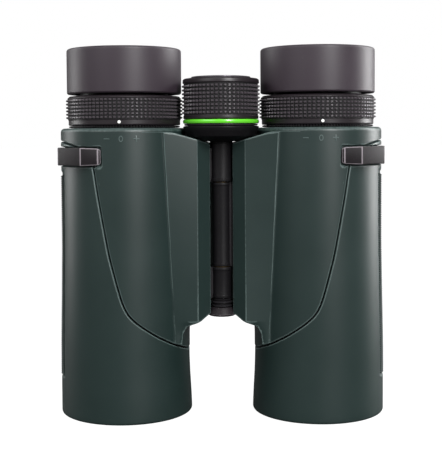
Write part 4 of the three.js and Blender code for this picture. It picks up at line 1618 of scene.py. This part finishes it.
# ------------------------------------------------------------------ studio
@dataclass(frozen=True)
class Softbox:
    """A soft rectangular light, in metres and watts."""

    name: str
    spot: Corner
    aim: Corner
    width: float
    height: float
    watts: float

    def hang(self) -> None:
        """Hangs the light at its spot, facing its aim."""
        data = bpy.data.lights.new(self.name, "AREA")
        data.shape = "RECTANGLE"
        data.size, data.size_y = self.width, self.height
        data.energy = self.watts
        light = bpy.data.objects.new(self.name, data)
        bpy.context.scene.collection.objects.link(light)
        light.location = self.spot
        light.rotation_euler = (Vector(self.aim) - Vector(self.spot)).to_track_quat("-Z", "Y").to_euler()


@dataclass
class Studio:
    """A pale floor, soft lights and the camera."""

    distance: float = 0.394
    height: float = 0.107
    tilt: float = -0.0522
    roll: float = -0.0058
    lens: float = 77.0
    shift_x: float = -0.0008
    shift_y: float = -0.1
    room_light: float = 0.13

    def build(self) -> None:
        """Makes the whole studio."""
        self._camera()
        self._floor()
        self._world()
        for softbox in (
            Softbox("front_strip", (0.36, -0.8, 0.55), (0.0, 0.0, 0.13), 0.17, 0.65, 11.0),
            Softbox("front_fill", (-0.65, -0.75, 0.6), (0.0, 0.0, 0.13), 0.7, 0.6, 4.3),
            Softbox("right_wall", (0.75, 0.3, 0.25), (0.04, 0.0, 0.07), 0.35, 0.8, 10.0),
            Softbox("left_wall", (-0.75, 0.25, 0.25), (-0.04, 0.0, 0.07), 0.3, 0.8, 4.0),
            Softbox("overhead", (0.0, -0.1, 0.95), (0.0, 0.0, 0.1), 0.6, 0.6, 1.5),
        ):
            softbox.hang()

    def _camera(self) -> None:
        """Places the camera level with the eyepieces, looking a little down."""
        data = bpy.data.cameras.new("camera")
        data.sensor_width = 36.0
        data.lens = self.lens
        data.shift_x, data.shift_y = self.shift_x, self.shift_y
        camera = bpy.data.objects.new("camera", data)
        bpy.context.scene.collection.objects.link(camera)
        turn = Matrix.Rotation(QUARTER_TURN + self.tilt, 4, "X") @ Matrix.Rotation(self.roll, 4, "Z")
        camera.matrix_world = Matrix.Translation((0.0, -self.distance, self.height)) @ turn
        bpy.context.scene.camera = camera

    def _floor(self) -> None:
        """A wide pale floor."""
        mesh = bpy.data.meshes.new("floor")
        mesh.from_pydata([(-6, -3, 0), (6, -3, 0), (6, 9, 0), (-6, 9, 0)], [], [(0, 1, 2, 3)])
        floor = bpy.data.objects.new("floor", mesh)
        bpy.context.scene.collection.objects.link(floor)
        material = bpy.data.materials.new("pale_floor")
        material.use_nodes = True
        shader = material.node_tree.nodes["Principled BSDF"]
        shader.inputs["Base Color"].default_value = (0.1, 0.1, 0.1, 1)
        shader.inputs["Roughness"].default_value = 0.9
        shader.inputs["Specular IOR Level"].default_value = 0.1
        shader.inputs["Emission Color"].default_value = (1, 1, 1, 1)
        seen = material.node_tree.nodes.new("ShaderNodeLightPath")
        glow = material.node_tree.nodes.new("ShaderNodeMath")
        glow.operation = "MULTIPLY"
        glow.inputs[1].default_value = 1.0
        material.node_tree.links.new(seen.outputs["Is Camera Ray"], glow.inputs[0])
        material.node_tree.links.new(glow.outputs[0], shader.inputs["Emission Strength"])
        mesh.materials.append(material)

    def _world(self) -> None:
        """A white backdrop that throws only a dim, even light on the binoculars."""
        world = bpy.data.worlds.new("white_studio")
        world.use_nodes = True
        back = world.node_tree.nodes["Background"]
        back.inputs["Color"].default_value = (1, 1, 1, 1)
        seen = world.node_tree.nodes.new("ShaderNodeLightPath")
        level = world.node_tree.nodes.new("ShaderNodeMapRange")
        level.inputs["To Min"].default_value = self.room_light
        level.inputs["To Max"].default_value = 1.0
        world.node_tree.links.new(seen.outputs["Is Camera Ray"], level.inputs["Value"])
        world.node_tree.links.new(level.outputs["Result"], back.inputs["Strength"])
        bpy.context.scene.world = world
        bpy.context.scene.view_settings.view_transform = "Standard"


def dress_hidden_nodes(finishes: dict[str, Material]) -> None:
    """Gives the plain nodes that stay their finishes by the record's slots.

    Args:
        finishes: the finishes by slot.
    """
    for part in frame["record"]["subparts"]:
        obj = frame["nodes"][part["node"]]
        for slot in obj.material_slots:
            slot.material = finishes[part["material_slot"]]


def main() -> None:
    """Builds the binoculars, sub-assembly by sub-assembly, and the studio round them."""
    logging.basicConfig(level=logging.INFO, format="%(name)s: %(message)s")
    finishes = build_finishes()
    dress_hidden_nodes(finishes)
    studs, ribs = StudRing(), RibStack()
    shape = BarrelShape()
    for side in Side:
        Core(side, finishes, studs).build()
        Armour(side, shape, finishes, ribs).build()
        StrapLug(side, finishes).build()
        Eyepiece(side, finishes, studs).build()
    FocusWheel(finishes, studs).build()
    Hinge(finishes).build()
    Studio().build()


if __name__ == "__main__":
    main()
